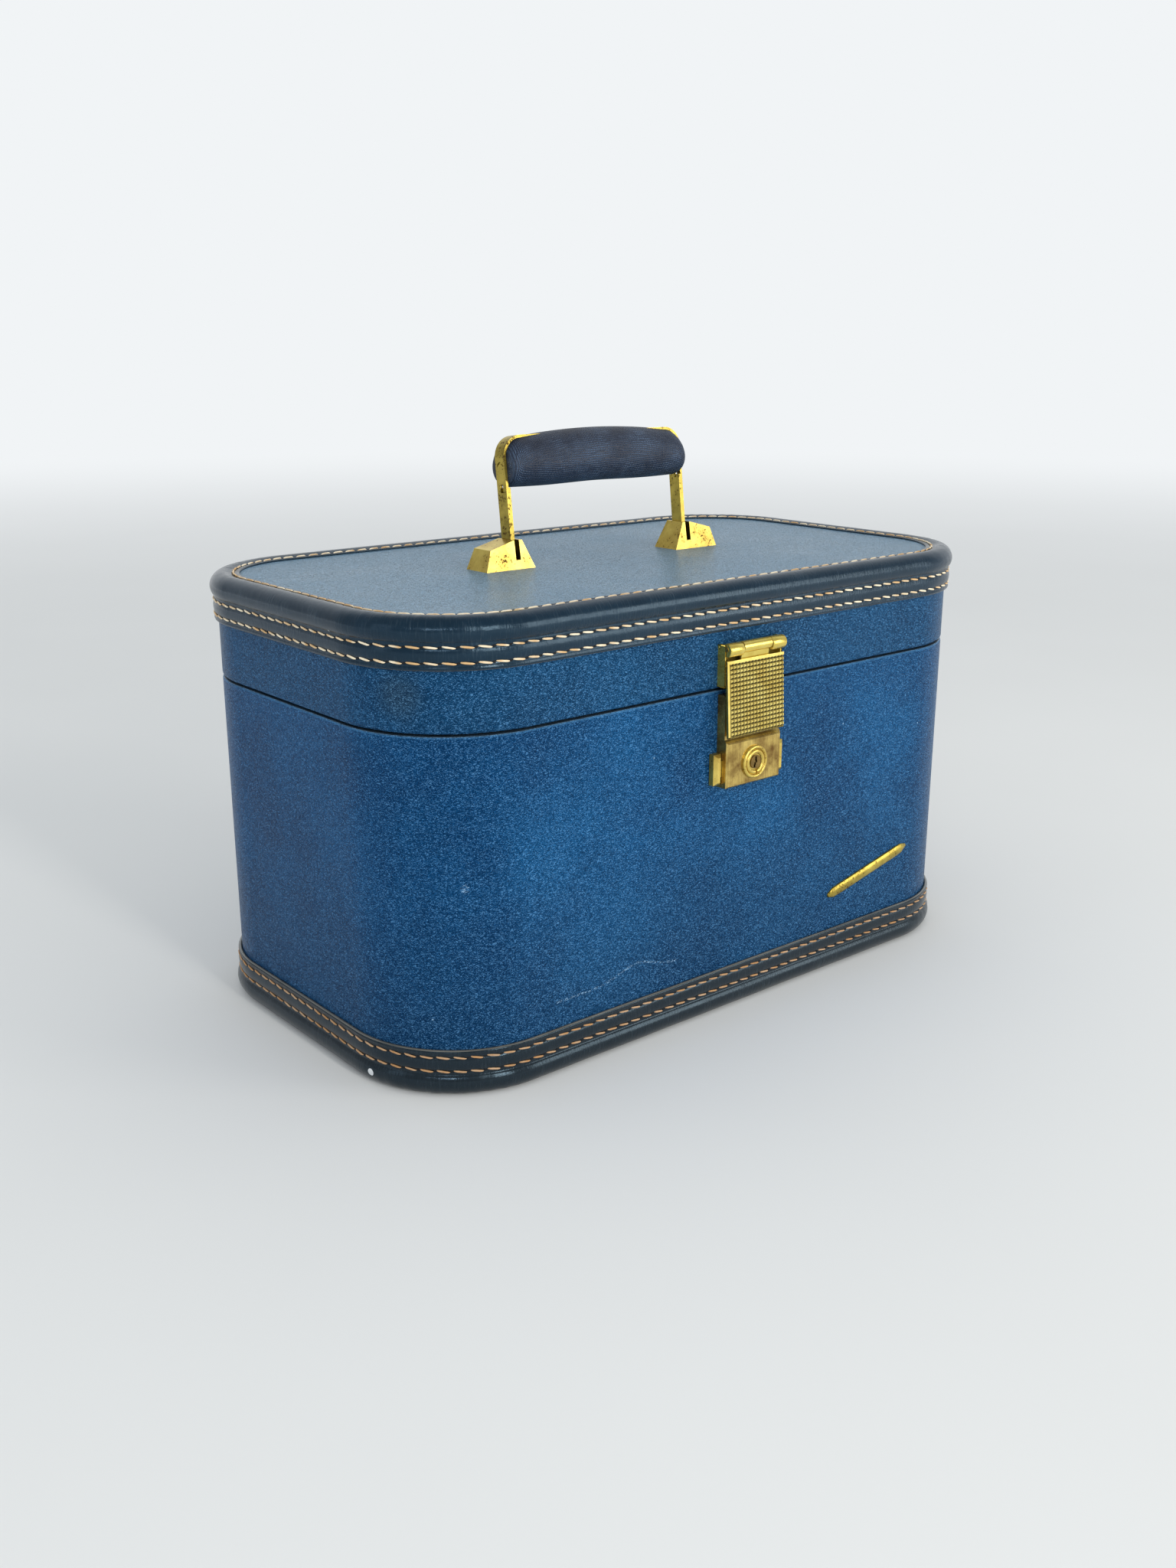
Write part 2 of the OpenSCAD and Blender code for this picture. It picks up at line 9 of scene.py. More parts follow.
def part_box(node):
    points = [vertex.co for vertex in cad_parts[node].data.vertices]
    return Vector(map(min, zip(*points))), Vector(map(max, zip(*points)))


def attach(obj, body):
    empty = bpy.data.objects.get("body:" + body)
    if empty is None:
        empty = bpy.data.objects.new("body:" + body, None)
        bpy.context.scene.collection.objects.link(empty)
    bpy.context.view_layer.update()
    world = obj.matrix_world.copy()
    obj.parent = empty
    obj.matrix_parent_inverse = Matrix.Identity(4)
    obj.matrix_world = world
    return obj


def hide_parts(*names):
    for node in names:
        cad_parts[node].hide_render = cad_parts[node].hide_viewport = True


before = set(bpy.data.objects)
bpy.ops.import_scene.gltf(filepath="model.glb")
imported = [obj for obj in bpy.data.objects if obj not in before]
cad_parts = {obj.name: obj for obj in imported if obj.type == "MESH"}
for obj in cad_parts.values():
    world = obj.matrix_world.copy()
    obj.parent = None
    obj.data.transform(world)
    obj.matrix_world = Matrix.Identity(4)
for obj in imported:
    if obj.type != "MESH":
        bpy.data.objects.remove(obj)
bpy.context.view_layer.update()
MM = 0.001


# ---------- camera ----------
# A phone held at arm's length, a little above the lid and off the case's left
# front corner.

camera = bpy.data.objects.new("camera", bpy.data.cameras.new("camera"))
bpy.context.scene.collection.objects.link(camera)
camera.data.lens = 34.37
camera.location = (-0.44605, -0.52277, 0.28882)
camera.rotation_euler = (math.radians(90 - 16.85), 0, math.radians(-39.94))
camera.data.clip_start = 0.01
bpy.context.scene.camera = camera
bpy.context.scene.view_settings.view_transform = "Standard"


# ---------- floor and light ----------
# Plain pale studio floor, which runs out of sight, in a pale room. A tall window
# faces the front of the case, and dimmer ones face its sides and its near corner.


def hex_colour(code):
    """Turns an sRGB hex value into the linear colour that a shader takes."""
    parts = [int(code[k : k + 2], 16) / 255 for k in (0, 2, 4)]
    return (*[c / 12.92 if c <= 0.04045 else ((c + 0.055) / 1.055) ** 2.4 for c in parts], 1)


def set_sockets(tree, node, inputs):
    """Gives a node's sockets their values or links. A node stands for its first output."""
    for socket, value in inputs.items():
        if isinstance(value, bpy.types.Node):
            value = value.outputs[0]
        if isinstance(value, bpy.types.NodeSocket):
            tree.links.new(value, node.inputs[socket])
        else:
            node.inputs[socket].default_value = value


def add(tree, kind, inputs, **settings):
    """Adds one node, with its settings and its sockets."""
    node = tree.nodes.new(kind)
    for name, value in settings.items():
        setattr(node, name, value)
    set_sockets(tree, node, inputs)
    return node


def new_material(name):
    """An empty material, with its tree and its Principled shader."""
    material = bpy.data.materials.new(name)
    material.use_nodes = True
    tree = material.node_tree
    return material, tree, tree.nodes["Principled BSDF"]


# Painted board: matt and even, with a faint cloud in the paint.
painted_board, tree, shader = new_material("painted_board_floor")
place = add(tree, "ShaderNodeTexCoord", {})
cloud = add(tree, "ShaderNodeTexNoise", {"Vector": place.outputs["Object"], "Scale": 3.0, "Detail": 3.0})
tone = add(
    tree, "ShaderNodeMix", {0: cloud, 6: hex_colour("e6e8e8"), 7: hex_colour("eceeee")}, data_type="RGBA"
)
set_sockets(tree, shader, {"Base Color": tone.outputs[2], "Roughness": 0.85})
# Far from the case the board runs into the white of the room without an edge.
ROOM_WHITE = hex_colour("f1f4f6")
path = add(tree, "ShaderNodeLightPath", {})
seen = add(
    tree,
    "ShaderNodeMath",
    {0: path.outputs["Is Camera Ray"], 1: path.outputs["Is Glossy Ray"]},
    operation="MAXIMUM",
)
seen = add(tree, "ShaderNodeMath", {0: seen, 1: path.outputs["Is Transmission Ray"]}, operation="MAXIMUM")
away = add(tree, "ShaderNodeVectorMath", {0: place.outputs["Object"]}, operation="LENGTH")
far = add(
    tree,
    "ShaderNodeMapRange",
    {"Value": away.outputs["Value"], "From Min": 0.8, "From Max": 3.2},
    interpolation_type="SMOOTHSTEP",
)
far = add(tree, "ShaderNodeMath", {0: far, 1: seen}, operation="MULTIPLY")
glow = add(tree, "ShaderNodeEmission", {"Color": ROOM_WHITE, "Strength": 1.0})
both = add(tree, "ShaderNodeMixShader", {0: far, 1: shader, 2: glow})
tree.links.new(both.outputs[0], tree.nodes["Material Output"].inputs["Surface"])

bm = bmesh.new()
bmesh.ops.create_grid(bm, x_segments=2, y_segments=2, size=60)
floor_mesh = bpy.data.meshes.new("floor")
bm.to_mesh(floor_mesh)
bm.free()
floor_mesh.materials.append(painted_board)
floor = bpy.data.objects.new("floor", floor_mesh)
bpy.context.scene.collection.objects.link(floor)

# The room is white to the camera. Metal and gloss see its far side white too,
# and its near side, behind the lamps, dimmer.
SOFT_LIGHT, NEAR_SIDE, FAR_SIDE = 0.8, 0.45, 1.0
world = bpy.data.worlds.new("studio")
bpy.context.scene.world = world
world.use_nodes = True
tree = world.node_tree
path = add(tree, "ShaderNodeLightPath", {})
mirrored = add(
    tree,
    "ShaderNodeMath",
    {0: path.outputs["Is Glossy Ray"], 1: path.outputs["Is Transmission Ray"]},
    operation="MAXIMUM",
)
way = add(tree, "ShaderNodeTexCoord", {})
far_side = add(
    tree,
    "ShaderNodeVectorMath",
    {0: way.outputs["Generated"], 1: (0.7, 0.71, 0.1)},
    operation="DOT_PRODUCT",
)
wall = add(
    tree,
    "ShaderNodeMapRange",
    {
        "Value": far_side.outputs["Value"],
        "From Min": 0.3,
        "From Max": 0.75,
        "To Min": NEAR_SIDE,
        "To Max": FAR_SIDE,
    },
)
strength = add(tree, "ShaderNodeMix", {0: mirrored, 2: SOFT_LIGHT, 3: wall})
strength = add(tree, "ShaderNodeMix", {0: path.outputs["Is Camera Ray"], 2: strength, 3: 1.0})
background = tree.nodes["Background"]
background.inputs["Color"].default_value = ROOM_WHITE
tree.links.new(strength.outputs[0], background.inputs["Strength"])


def window(name, place, aim, size, power, colour):
    """A large soft lamp at a place, turned to the point it lights."""
    lamp = bpy.data.lights.new(name, "AREA")
    lamp.shape = "RECTANGLE"
    lamp.size, lamp.size_y = size
    lamp.energy = power
    lamp.color = hex_colour(colour)[:3]
    holder = bpy.data.objects.new(name, lamp)
    bpy.context.scene.collection.objects.link(holder)
    holder.location = place
    holder.rotation_euler = (Vector(aim) - Vector(place)).to_track_quat("-Z", "Y").to_euler()
    holder.visible_camera = False


window("front_window", (-0.15, -1.9, 0.75), (0, 0, 0.1), (0.22, 0.8), 12.5, "fffaf2")
window("right_window", (1.15, -1.55, 0.5), (0, 0, 0.15), (0.7, 0.9), 10, "fffaf2")
window("left_window", (-1.9, 0.15, 0.75), (0, 0, 0.1), (0.3, 1.2), 1.5, "f2f7ff")
window("corner_window", (-1.5, -1.35, 0.95), (-0.1, -0.05, 0.12), (0.5, 0.3), 4.5, "f6f9ff")


# ---------- case boards ----------
# Two deep halves of pressed greyboard, bent at the corners and glued. The skin
# and the lining hide them, apart from thin edges.

# Greyboard: dry and fibrous, with no shine at all.
greyboard, tree, shader = new_material("pressed_greyboard")
place = add(tree, "ShaderNodeTexCoord", {})
fibre = add(
    tree,
    "ShaderNodeTexNoise",
    {"Vector": place.outputs["Object"], "Scale": 1 / (2.0 * MM), "Detail": 4.0},
)
tone = add(
    tree, "ShaderNodeMix", {0: fibre, 6: hex_colour("8b7f6c"), 7: hex_colour("a2967f")}, data_type="RGBA"
)
bump = add(tree, "ShaderNodeBump", {"Height": fibre, "Strength": 0.4, "Distance": 0.1 * MM})
set_sockets(tree, shader, {"Base Color": tone.outputs[2], "Roughness": 0.9, "Normal": bump})


def dress(material, *nodes):
    """Gives CAD nodes their material."""
    for node in nodes:
        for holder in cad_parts[node].material_slots:
            holder.material = material


dress(greyboard, "base_shell", "lid_shell")


# ---------- vinyl skin ----------
# Vinyl-coated cloth, embossed with a fine crinkled grain and lacquered to a
# satin. It is glued over the boards and turned in round the rims of the opening.

SEAM_Z = 146.5 * MM  # between the lid and the base
RIM_Z = 145.5 * MM  # the base's rim, where its skin folds inwards
FRONT_SKIN_Y = -93 * MM  # only the front's skin lies beyond this
STAIN_AT = (-157 * MM, -70 * MM, 161 * MM)
SCUFF_AT = (-141.2 * MM, -86.1 * MM, 86.7 * MM)
SCRATCH_LOW, SCRATCH_HUMP = 30.8 * MM, 5 * MM
HUMP_X, HUMP_WIDE = -60 * MM, 13 * MM
SCRATCH_MIDDLE, SCRATCH_HALF = -70 * MM, 33 * MM

# Embossed vinyl: saturated deep blue. Its crinkles catch small points of light, their tops are also
# painted pale as painted glints, and their creases hold painted shade.
vinyl, tree, shader = new_material("embossed_vinyl_cloth")
place = add(tree, "ShaderNodeTexCoord", {})
at = add(tree, "ShaderNodeSeparateXYZ", {0: place.outputs["Object"]})
# Winding creases part the crinkles. They are about 0.8 mm apart, and the crinkles
# lie longer than they are high.
lay = add(tree, "ShaderNodeMapping", {"Vector": place.outputs["Object"], "Scale": (1, 1, 2.0)})
crinkle = add(
    tree,
    "ShaderNodeTexNoise",
    {"Vector": lay, "Scale": 1 / (0.95 * MM), "Detail": 1.5, "Roughness": 0.6, "Distortion": 0.8},
)
crease = add(tree, "ShaderNodeMath", {0: crinkle, 1: 0.5}, operation="SUBTRACT")
crease = add(tree, "ShaderNodeMath", {0: crease}, operation="ABSOLUTE")
ridge = add(
    tree, "ShaderNodeMapRange", {"Value": crease, "From Max": 0.06}, interpolation_type="SMOOTHSTEP"
)
# The boards under the skin are a little uneven, over 30 mm or so.
pull = add(
    tree, "ShaderNodeTexNoise", {"Vector": place.outputs["Object"], "Scale": 1 / (30 * MM), "Detail": 2.0}
)
height = add(tree, "ShaderNodeMath", {0: pull, 1: 1.4, 2: ridge}, operation="MULTIPLY_ADD")
bump = add(tree, "ShaderNodeBump", {"Height": height, "Strength": 1.0, "Distance": 0.15 * MM})
# Rubbed and faded patches.
fade = add(
    tree,
    "ShaderNodeTexNoise",
    {"Vector": place.outputs["Object"], "Scale": 1 / (55 * MM), "Detail": 5.0, "Roughness": 0.6},
)
faded = add(tree, "ShaderNodeMapRange", {"Value": fade, "From Min": 0.38, "From Max": 0.66})
tone = add(
    tree, "ShaderNodeMix", {0: faded, 6: hex_colour("073d6b"), 7: hex_colour("135589")}, data_type="RGBA"
)
# The skin is painted darker towards the ground.
darker_near_ground = add(
    tree,
    "ShaderNodeMapRange",
    {"Value": at.outputs["Z"], "From Min": 0.015, "From Max": 0.095, "To Min": 0.65, "To Max": 0.0},
)
# The lid's side has aged a little greyer than the base.
lid_part = add(
    tree,
    "ShaderNodeMapRange",
    {"Value": at.outputs["Z"], "From Min": SEAM_Z, "From Max": SEAM_Z + MM, "To Max": 0.35},
)
# The lid's panel, on faces that look up, is painted a paler, greyer blue: partly fading from handling and
# dust, and partly a painted reflection of the pale room.
facing = add(tree, "ShaderNodeSeparateXYZ", {0: place.outputs["Normal"]})
top = add(
    tree,
    "ShaderNodeMapRange",
    {"Value": facing.outputs["Z"], "From Min": 0.6, "From Max": 0.95, "To Max": 0.85},
)
# The creases are painted dark as painted shade, and the tops of the crinkles are painted pale as painted
# glints.
crease_shade = add(tree, "ShaderNodeMapRange", {"Value": ridge, "From Max": 0.7, "To Min": 0.7, "To Max": 0.0})
crinkle_glint = add(
    tree, "ShaderNodeMapRange", {"Value": crease, "From Min": 0.08, "From Max": 0.17, "To Max": 0.42}
)
# The fold at the base's rim is painted pale: a painted highlight where the fold catches the light, with a
# little wear.
rim_highlight = add(tree, "ShaderNodeMath", {0: at.outputs["Z"], 1: RIM_Z, 2: 0.3 * MM}, operation="COMPARE")
rim_highlight = add(tree, "ShaderNodeMath", {0: rim_highlight, 1: fade}, operation="MULTIPLY")
# Painted shade darkens the skin on both sides of the seam, where the gap between lid and base falls dark.
seam_shade = add(tree, "ShaderNodeMath", {0: at.outputs["Z"], 1: SEAM_Z, 2: 0.55 * MM}, operation="COMPARE")
seam_shade = add(tree, "ShaderNodeMath", {0: seam_shade, 1: 0.85}, operation="MULTIPLY")
# A brown stain on the lid's front left corner, about 16 mm across.
away = add(tree, "ShaderNodeVectorMath", {0: place.outputs["Object"], 1: STAIN_AT}, operation="DISTANCE")
stain = add(
    tree,
    "ShaderNodeMapRange",
    {
        "Value": away.outputs["Value"],
        "From Min": 3 * MM,
        "From Max": 13 * MM,
        "To Min": 0.24,
        "To Max": 0.0,
    },
    interpolation_type="SMOOTHSTEP",
)
stain = add(tree, "ShaderNodeMath", {0: stain, 1: ridge}, operation="MULTIPLY")
# A broken pale scratch, which climbs to a hump and falls away, low on the front.
run = add(tree, "ShaderNodeMath", {0: at.outputs["X"], 1: -HUMP_X}, operation="ADD")
run = add(tree, "ShaderNodeMath", {0: run, 1: HUMP_WIDE}, operation="DIVIDE")
run = add(tree, "ShaderNodeMath", {0: run, 1: run}, operation="MULTIPLY")
run = add(tree, "ShaderNodeMath", {0: -1.0, 1: run}, operation="MULTIPLY")
run = add(tree, "ShaderNodeMath", {0: run}, operation="EXPONENT")
hump = add(tree, "ShaderNodeMath", {0: run, 1: SCRATCH_HUMP, 2: SCRATCH_LOW}, operation="MULTIPLY_ADD")
scratch = add(tree, "ShaderNodeMath", {0: at.outputs["Z"], 1: hump, 2: 0.5 * MM}, operation="COMPARE")
broken = add(
    tree, "ShaderNodeMapRange", {"Value": crinkle, "From Min": 0.5, "From Max": 0.62, "To Max": 0.6}
)
ends = add(
    tree, "ShaderNodeMath", {0: at.outputs["X"], 1: SCRATCH_MIDDLE, 2: SCRATCH_HALF}, operation="COMPARE"
)
on_front = add(tree, "ShaderNodeMath", {0: at.outputs["Y"], 1: FRONT_SKIN_Y}, operation="LESS_THAN")
for part in (broken, ends, on_front):
    scratch = add(tree, "ShaderNodeMath", {0: scratch, 1: part}, operation="MULTIPLY")
# A few specks of pale paint and dust, several centimetres apart.
speck = add(
    tree,
    "ShaderNodeTexVoronoi",
    {"Vector": place.outputs["Object"], "Scale": 1 / (17 * MM), "Randomness": 1.0},
)
dot = add(
    tree,
    "ShaderNodeMapRange",
    {"Value": speck, "From Min": 0.014, "From Max": 0.028, "To Min": 0.8, "To Max": 0.0},
)
marks = add(tree, "ShaderNodeMath", {0: dot, 1: scratch}, operation="MAXIMUM")
# A small pale scuff half way up the front left corner.
away = add(tree, "ShaderNodeVectorMath", {0: place.outputs["Object"], 1: SCUFF_AT}, operation="DISTANCE")
scuff = add(tree, "ShaderNodeMath", {0: away.outputs["Value"], 1: 1.8 * MM}, operation="LESS_THAN")
scuff = add(tree, "ShaderNodeMath", {0: scuff, 1: broken}, operation="MULTIPLY")
marks = add(tree, "ShaderNodeMath", {0: marks, 1: scuff}, operation="MAXIMUM")
# Each mark tints what lies under it, in this order. Some are painted light: shade in the creases and at
# the seam, glints on the crinkles, a highlight on the rim's fold and a reflection on the lid's panel.
for mask, code in (
    (darker_near_ground, "12385c"),
    (lid_part, "1a4059"),
    (top, "83a3b7"),
    (crease_shade, "06203f"),
    (crinkle_glint, "659ccb"),
    (rim_highlight, "4880b0"),
    (seam_shade, "04101e"),
    (stain, "4d5a4c"),
    (marks, "93bbdd"),
):
    tone = add(
        tree, "ShaderNodeMix", {0: mask, 6: tone.outputs[2], 7: hex_colour(code)}, data_type="RGBA"
    )
gloss = add(
    tree,
    "ShaderNodeMapRange",
    {"Value": fade, "From Min": 0.3, "From Max": 0.7, "To Min": 0.26, "To Max": 0.36},
)
set_sockets(
    tree,
    shader,
    {
        "Base Color": tone.outputs[2],
        "Roughness": gloss,
        "Normal": bump,
        "Specular IOR Level": 0.1,
        "Specular Tint": hex_colour("81b6e7"),
    },
)
dress(vinyl, "base_cover", "lid_cover")


# ---------- bindings ----------
# Smooth coated leather binding, turned over a cord round the top and the bottom
# edge, so that it makes a fat rounded welt with a flat stitched band beside it.

CASE_W, CASE_D, CORNER_R = 330 * MM, 187 * MM, 50 * MM
WALL_X, WALL_Y = CASE_W - 2 * CORNER_R, CASE_D - 2 * CORNER_R
ROUND = 2 * (WALL_X + WALL_Y) + math.tau * CORNER_R  # once round the outline
STITCHES = 146
PITCH = ROUND / STITCHES
# The outer faces of the lid's panel and of the base's, in mm. A height on the lid's
# binding and the same on the base's, which is turned over, add up to their sum.
PANEL_Z, BASE_PANEL_Z = 189.4, 1.35
TURNED_OVER = PANEL_Z + BASE_PANEL_Z


def around(travel):
    """A point of the case's outline and the way out of the wall there. Travel
    starts in the middle of the back, where a binding's join is."""
    left = travel
    heading = math.pi / 2
    point = Vector((0, CASE_D / 2))
    for wall_length in (WALL_X / 2, WALL_Y, WALL_X, WALL_Y, WALL_X / 2):
        out = Vector((math.cos(heading), math.sin(heading)))
        step = min(left, wall_length)
        point += Vector((-out.y, out.x)) * step
        left -= step
        turn = min(left / CORNER_R, math.pi / 2)
        centre = point - out * CORNER_R
        heading += turn
        out = Vector((math.cos(heading), math.sin(heading)))
        point = centre + out * CORNER_R
        left -= turn * CORNER_R
        if left <= 0:
            break
    return point, out


def in_corner(travel):
    """How far round a corner this is: 0 on a wall, 1 in the middle of a corner."""
    half = travel % (ROUND / 2)
    quarter = min(half, ROUND / 2 - half)
    middle = WALL_X / 2 + CORNER_R * math.pi / 4
    away = abs(quarter - middle) / (CORNER_R * math.pi / 4)
    return max(0.0, 1 - away**2)


def wrap(section, steps, shaped):
    """Wraps a closed section, points of (out, height) in mm, round the case. Shaped
    takes (travel, point, out, height) and returns the out and height to use."""
    bm = bmesh.new()
    bmesh.ops.create_grid(bm, x_segments=steps, y_segments=len(section), size=0.5)
    lengths = [0.0]
    for one, other in zip(section, section[1:] + section[:1]):
        lengths.append(lengths[-1] + math.dist(one, other) * MM)
    uv = bm.loops.layers.uv.new("along")
    for face in bm.faces:
        for loop in face.loops:
            co = loop.vert.co
            loop[uv].uv = ((co.x + 0.5) * ROUND, lengths[round((co.y + 0.5) * len(section))])
    for vert in bm.verts:
        travel = (vert.co.x + 0.5) * ROUND
        out, height = section[round((vert.co.y + 0.5) * len(section)) % len(section)]
        point, way = around(travel % ROUND)
        out, height = shaped(travel, point, out, height)
        spot = point + way * out * MM
        vert.co = (spot.x, spot.y, height * MM)
    bmesh.ops.remove_doubles(bm, verts=bm.verts, dist=0.001 * MM)
    bmesh.ops.recalc_face_normals(bm, faces=bm.faces)
    return bm


def finish_piece(bm, name, *materials):
    """Makes a smooth mesh object of a bmesh, at the origin."""
    for face in bm.faces:
        face.smooth = True
    mesh = bpy.data.meshes.new(name)
    bm.to_mesh(mesh)
    bm.free()
    for material in materials:
        mesh.materials.append(material)
    piece = bpy.data.objects.new(name, mesh)
    bpy.context.scene.collection.objects.link(piece)
    return piece


# The lid binding's section, up the outside, over the welt, in over the lap and
# back underneath. The two rows of stitches lie in shallow troughs.
BAND = [
    (0.3, 171.0), (1.0, 171.0), (1.5, 171.3), (1.72, 171.8), (1.66, 172.3), (1.44, 172.7),
    (1.52, 173.1), (1.48, 173.5), (1.28, 173.9), (1.5, 174.3), (1.68, 174.9), (1.86, 175.8),
    (1.92, 176.8), (1.88, 177.8), (1.72, 178.7), (1.5, 179.3), (1.24, 179.8), (1.44, 180.3),
    (1.4, 180.9), (1.3, 181.35),
]  # fmt: skip
LAP = [
    (-6.3, 190.12), (-6.8, 190.0), (-7.25, 189.86), (-7.7, 190.02), (-8.3, 190.16),
    (-9.0, 190.2), (-9.6, 190.16), (-9.95, 189.9), (-10.0, 189.42),
]  # fmt: skip
UNDERSIDE = [(-5.0, 189.4), (-0.2, 189.4), (0, 189.2), (0, 180.0)]
WELT_R, WELT_CENTRE = 5.8, Vector((-3.0, 185.1))
WELT_FROM, WELT_TURN, WELT_STEPS = -36, 154, 18
WELT = []
for k in range(WELT_STEPS + 1):
    angle = math.radians(WELT_FROM + k * WELT_TURN / WELT_STEPS)
    WELT.append(tuple(WELT_CENTRE + WELT_R * Vector((math.cos(angle), math.sin(angle)))))
CUT_EDGE_Z = 171.075  # the middle of the band's cut edge
# The rows of stitches: one in from the wall, and two at heights on the band.
TOP_ROW_IN, TOP_ROW_Z = 7.25, 190.05
ROW_OUT, ROW_Z = (1.3, 1.34), (179.8, 173.9)
STEPS_PER_STITCH = 6


def drawn_leather(travel, point, out, height):
    """The cord under the leather is a little uneven, the leather gathers at the
    corners, and each needle hole draws it in."""
    push = Vector((0, 0))  # in mm
    over_welt = min(1, max(0, (out + 7) / 5)) * min(1, max(0, (height - 180.5) / 2))
    if over_welt > 0:
        wave = 0.16 * noise.noise(Vector((point.x * 45, point.y * 45, height * 0.02)))
        pucker = 0.17 * noise.noise(Vector((travel * 360, out * 0.12, height * 0.12)))
        push = Vector((out, height)) - WELT_CENTRE
        push = push.normalized() * over_welt * (wave + pucker * in_corner(travel))
    if out > 1.2 and height < 181:
        push.x += 0.06 * noise.noise(Vector((point.x * 120, point.y * 120, height * 0.2)))
    if abs(travel / PITCH - round(travel / PITCH)) * STEPS_PER_STITCH < 0.5:
        for row in ROW_Z:
            if abs(height - row) < 0.5 and out > 1:
                push.x -= 0.3 * (1 - abs(height - row) / 0.5)
        if abs(out + TOP_ROW_IN) < 0.5 and height > 189.5:
            push.y -= 0.25 * (1 - abs(out + TOP_ROW_IN) / 0.5)
    return out + push.x, height + push.y


# Pigmented leather: nearly black blue with a waxy gloss, creased across, scuffed
# in patches and greyer near the ground.
binding_leather, tree, shader = new_material("pigmented_binding_leather")
place = add(tree, "ShaderNodeTexCoord", {})
at = add(tree, "ShaderNodeSeparateXYZ", {0: place.outputs["Object"]})
strip = add(tree, "ShaderNodeUVMap", {}, uv_map="along")
# Fine creases run across the strip, about 0.7 mm apart.
crease = add(tree, "ShaderNodeMapping", {"Vector": strip, "Scale": (1 / (0.7 * MM), 1 / (7 * MM), 1)})
crease = add(
    tree, "ShaderNodeTexNoise", {"Vector": crease, "Scale": 1.0, "Detail": 3.0, "Roughness": 0.6}
)
pore = add(
    tree,
    "ShaderNodeTexNoise",
    {"Vector": place.outputs["Object"], "Scale": 1 / (0.9 * MM), "Detail": 2.0},
)
patch = add(
    tree,
    "ShaderNodeTexNoise",
    {"Vector": place.outputs["Object"], "Scale": 1 / (24 * MM), "Detail": 4.0, "Roughness": 0.62},
)
amount = add(
    tree,
    "ShaderNodeMapRange",
    {"Value": patch, "From Min": 0.4, "From Max": 0.62, "To Min": 0.35, "To Max": 1.0},
)
height = add(tree, "ShaderNodeMath", {0: crease, 1: amount}, operation="MULTIPLY")
height = add(tree, "ShaderNodeMath", {0: pore, 1: 0.3, 2: height}, operation="MULTIPLY_ADD")
bump = add(tree, "ShaderNodeBump", {"Height": height, "Strength": 0.9, "Distance": 0.16 * MM})
bluer = add(tree, "ShaderNodeMapRange", {"Value": at.outputs["Z"], "From Min": 0.05, "From Max": 0.15})
dark = add(
    tree, "ShaderNodeMix", {0: bluer, 6: hex_colour("0c1115"), 7: hex_colour("04131f")}, data_type="RGBA"
)
pale = add(
    tree, "ShaderNodeMix", {0: bluer, 6: hex_colour("1d2328"), 7: hex_colour("11293b")}, data_type="RGBA"
)
tone = add(tree, "ShaderNodeMix", {0: patch, 6: dark.outputs[2], 7: pale.outputs[2]}, data_type="RGBA")
# The creases have rubbed grey where the strip is most scuffed.
rub = add(tree, "ShaderNodeMapRange", {"Value": crease, "From Min": 0.52, "From Max": 0.75})
rub = add(tree, "ShaderNodeMath", {0: rub, 1: amount}, operation="MULTIPLY")
rub = add(tree, "ShaderNodeMath", {0: rub, 1: 0.3}, operation="MULTIPLY")
# The cut edge beside the skin shows raw and pale.
half_height = TURNED_OVER / 2
cut = add(tree, "ShaderNodeMath", {0: at.outputs["Z"], 1: half_height * MM}, operation="SUBTRACT")
cut = add(tree, "ShaderNodeMath", {0: cut}, operation="ABSOLUTE")
cut = add(
    tree,
    "ShaderNodeMath",
    {0: cut, 1: (CUT_EDGE_Z - half_height) * MM, 2: 0.22 * MM},
    operation="COMPARE",
)
cut = add(tree, "ShaderNodeMath", {0: cut, 1: patch}, operation="MULTIPLY")
# A few specks of pale paint, and one larger fleck low on the front left corner.
FLECK_AT = (-167.1 * MM, -54.0 * MM, 5.4 * MM)
speck = add(
    tree,
    "ShaderNodeTexVoronoi",
    {"Vector": place.outputs["Object"], "Scale": 1 / (15 * MM), "Randomness": 1.0},
)
dot = add(
    tree,
    "ShaderNodeMapRange",
    {"Value": speck, "From Min": 0.018, "From Max": 0.03, "To Min": 0.85, "To Max": 0.0},
)
away = add(tree, "ShaderNodeVectorMath", {0: place.outputs["Object"], 1: FLECK_AT}, operation="DISTANCE")
fleck = add(tree, "ShaderNodeMath", {0: away.outputs["Value"], 1: 1.6 * MM}, operation="LESS_THAN")
dot = add(tree, "ShaderNodeMath", {0: dot, 1: fleck}, operation="MAXIMUM")
for mask, code in ((rub, "4f5c64"), (cut, "8d8b82"), (dot, "d9dde0")):
    tone = add(
        tree, "ShaderNodeMix", {0: mask, 6: tone.outputs[2], 7: hex_colour(code)}, data_type="RGBA"
    )
gloss = add(
    tree,
    "ShaderNodeMapRange",
    {"Value": patch, "From Min": 0.35, "From Max": 0.65, "To Min": 0.18, "To Max": 0.25},
)
set_sockets(
    tree,
    shader,
    {
        "Base Color": tone.outputs[2],
        "Roughness": gloss,
        "Normal": bump,
        "Specular IOR Level": 0.6,
        "Specular Tint": hex_colour("a9cbe4"),
    },
)

for name, body, node, upside_down in (
    ("lid_welt", "lid", "lid_binding", False),
    ("base_welt", "base", "base_binding", True),
):
    bm = wrap(BAND + WELT + LAP + UNDERSIDE, STITCHES * STEPS_PER_STITCH, drawn_leather)
    if upside_down:
        for vert in bm.verts:
            vert.co.z = max(0.0, TURNED_OVER * MM - vert.co.z)
        bmesh.ops.recalc_face_normals(bm, faces=bm.faces)
    welt = finish_piece(bm, name, binding_leather)
    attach(welt, body)
    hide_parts(node)


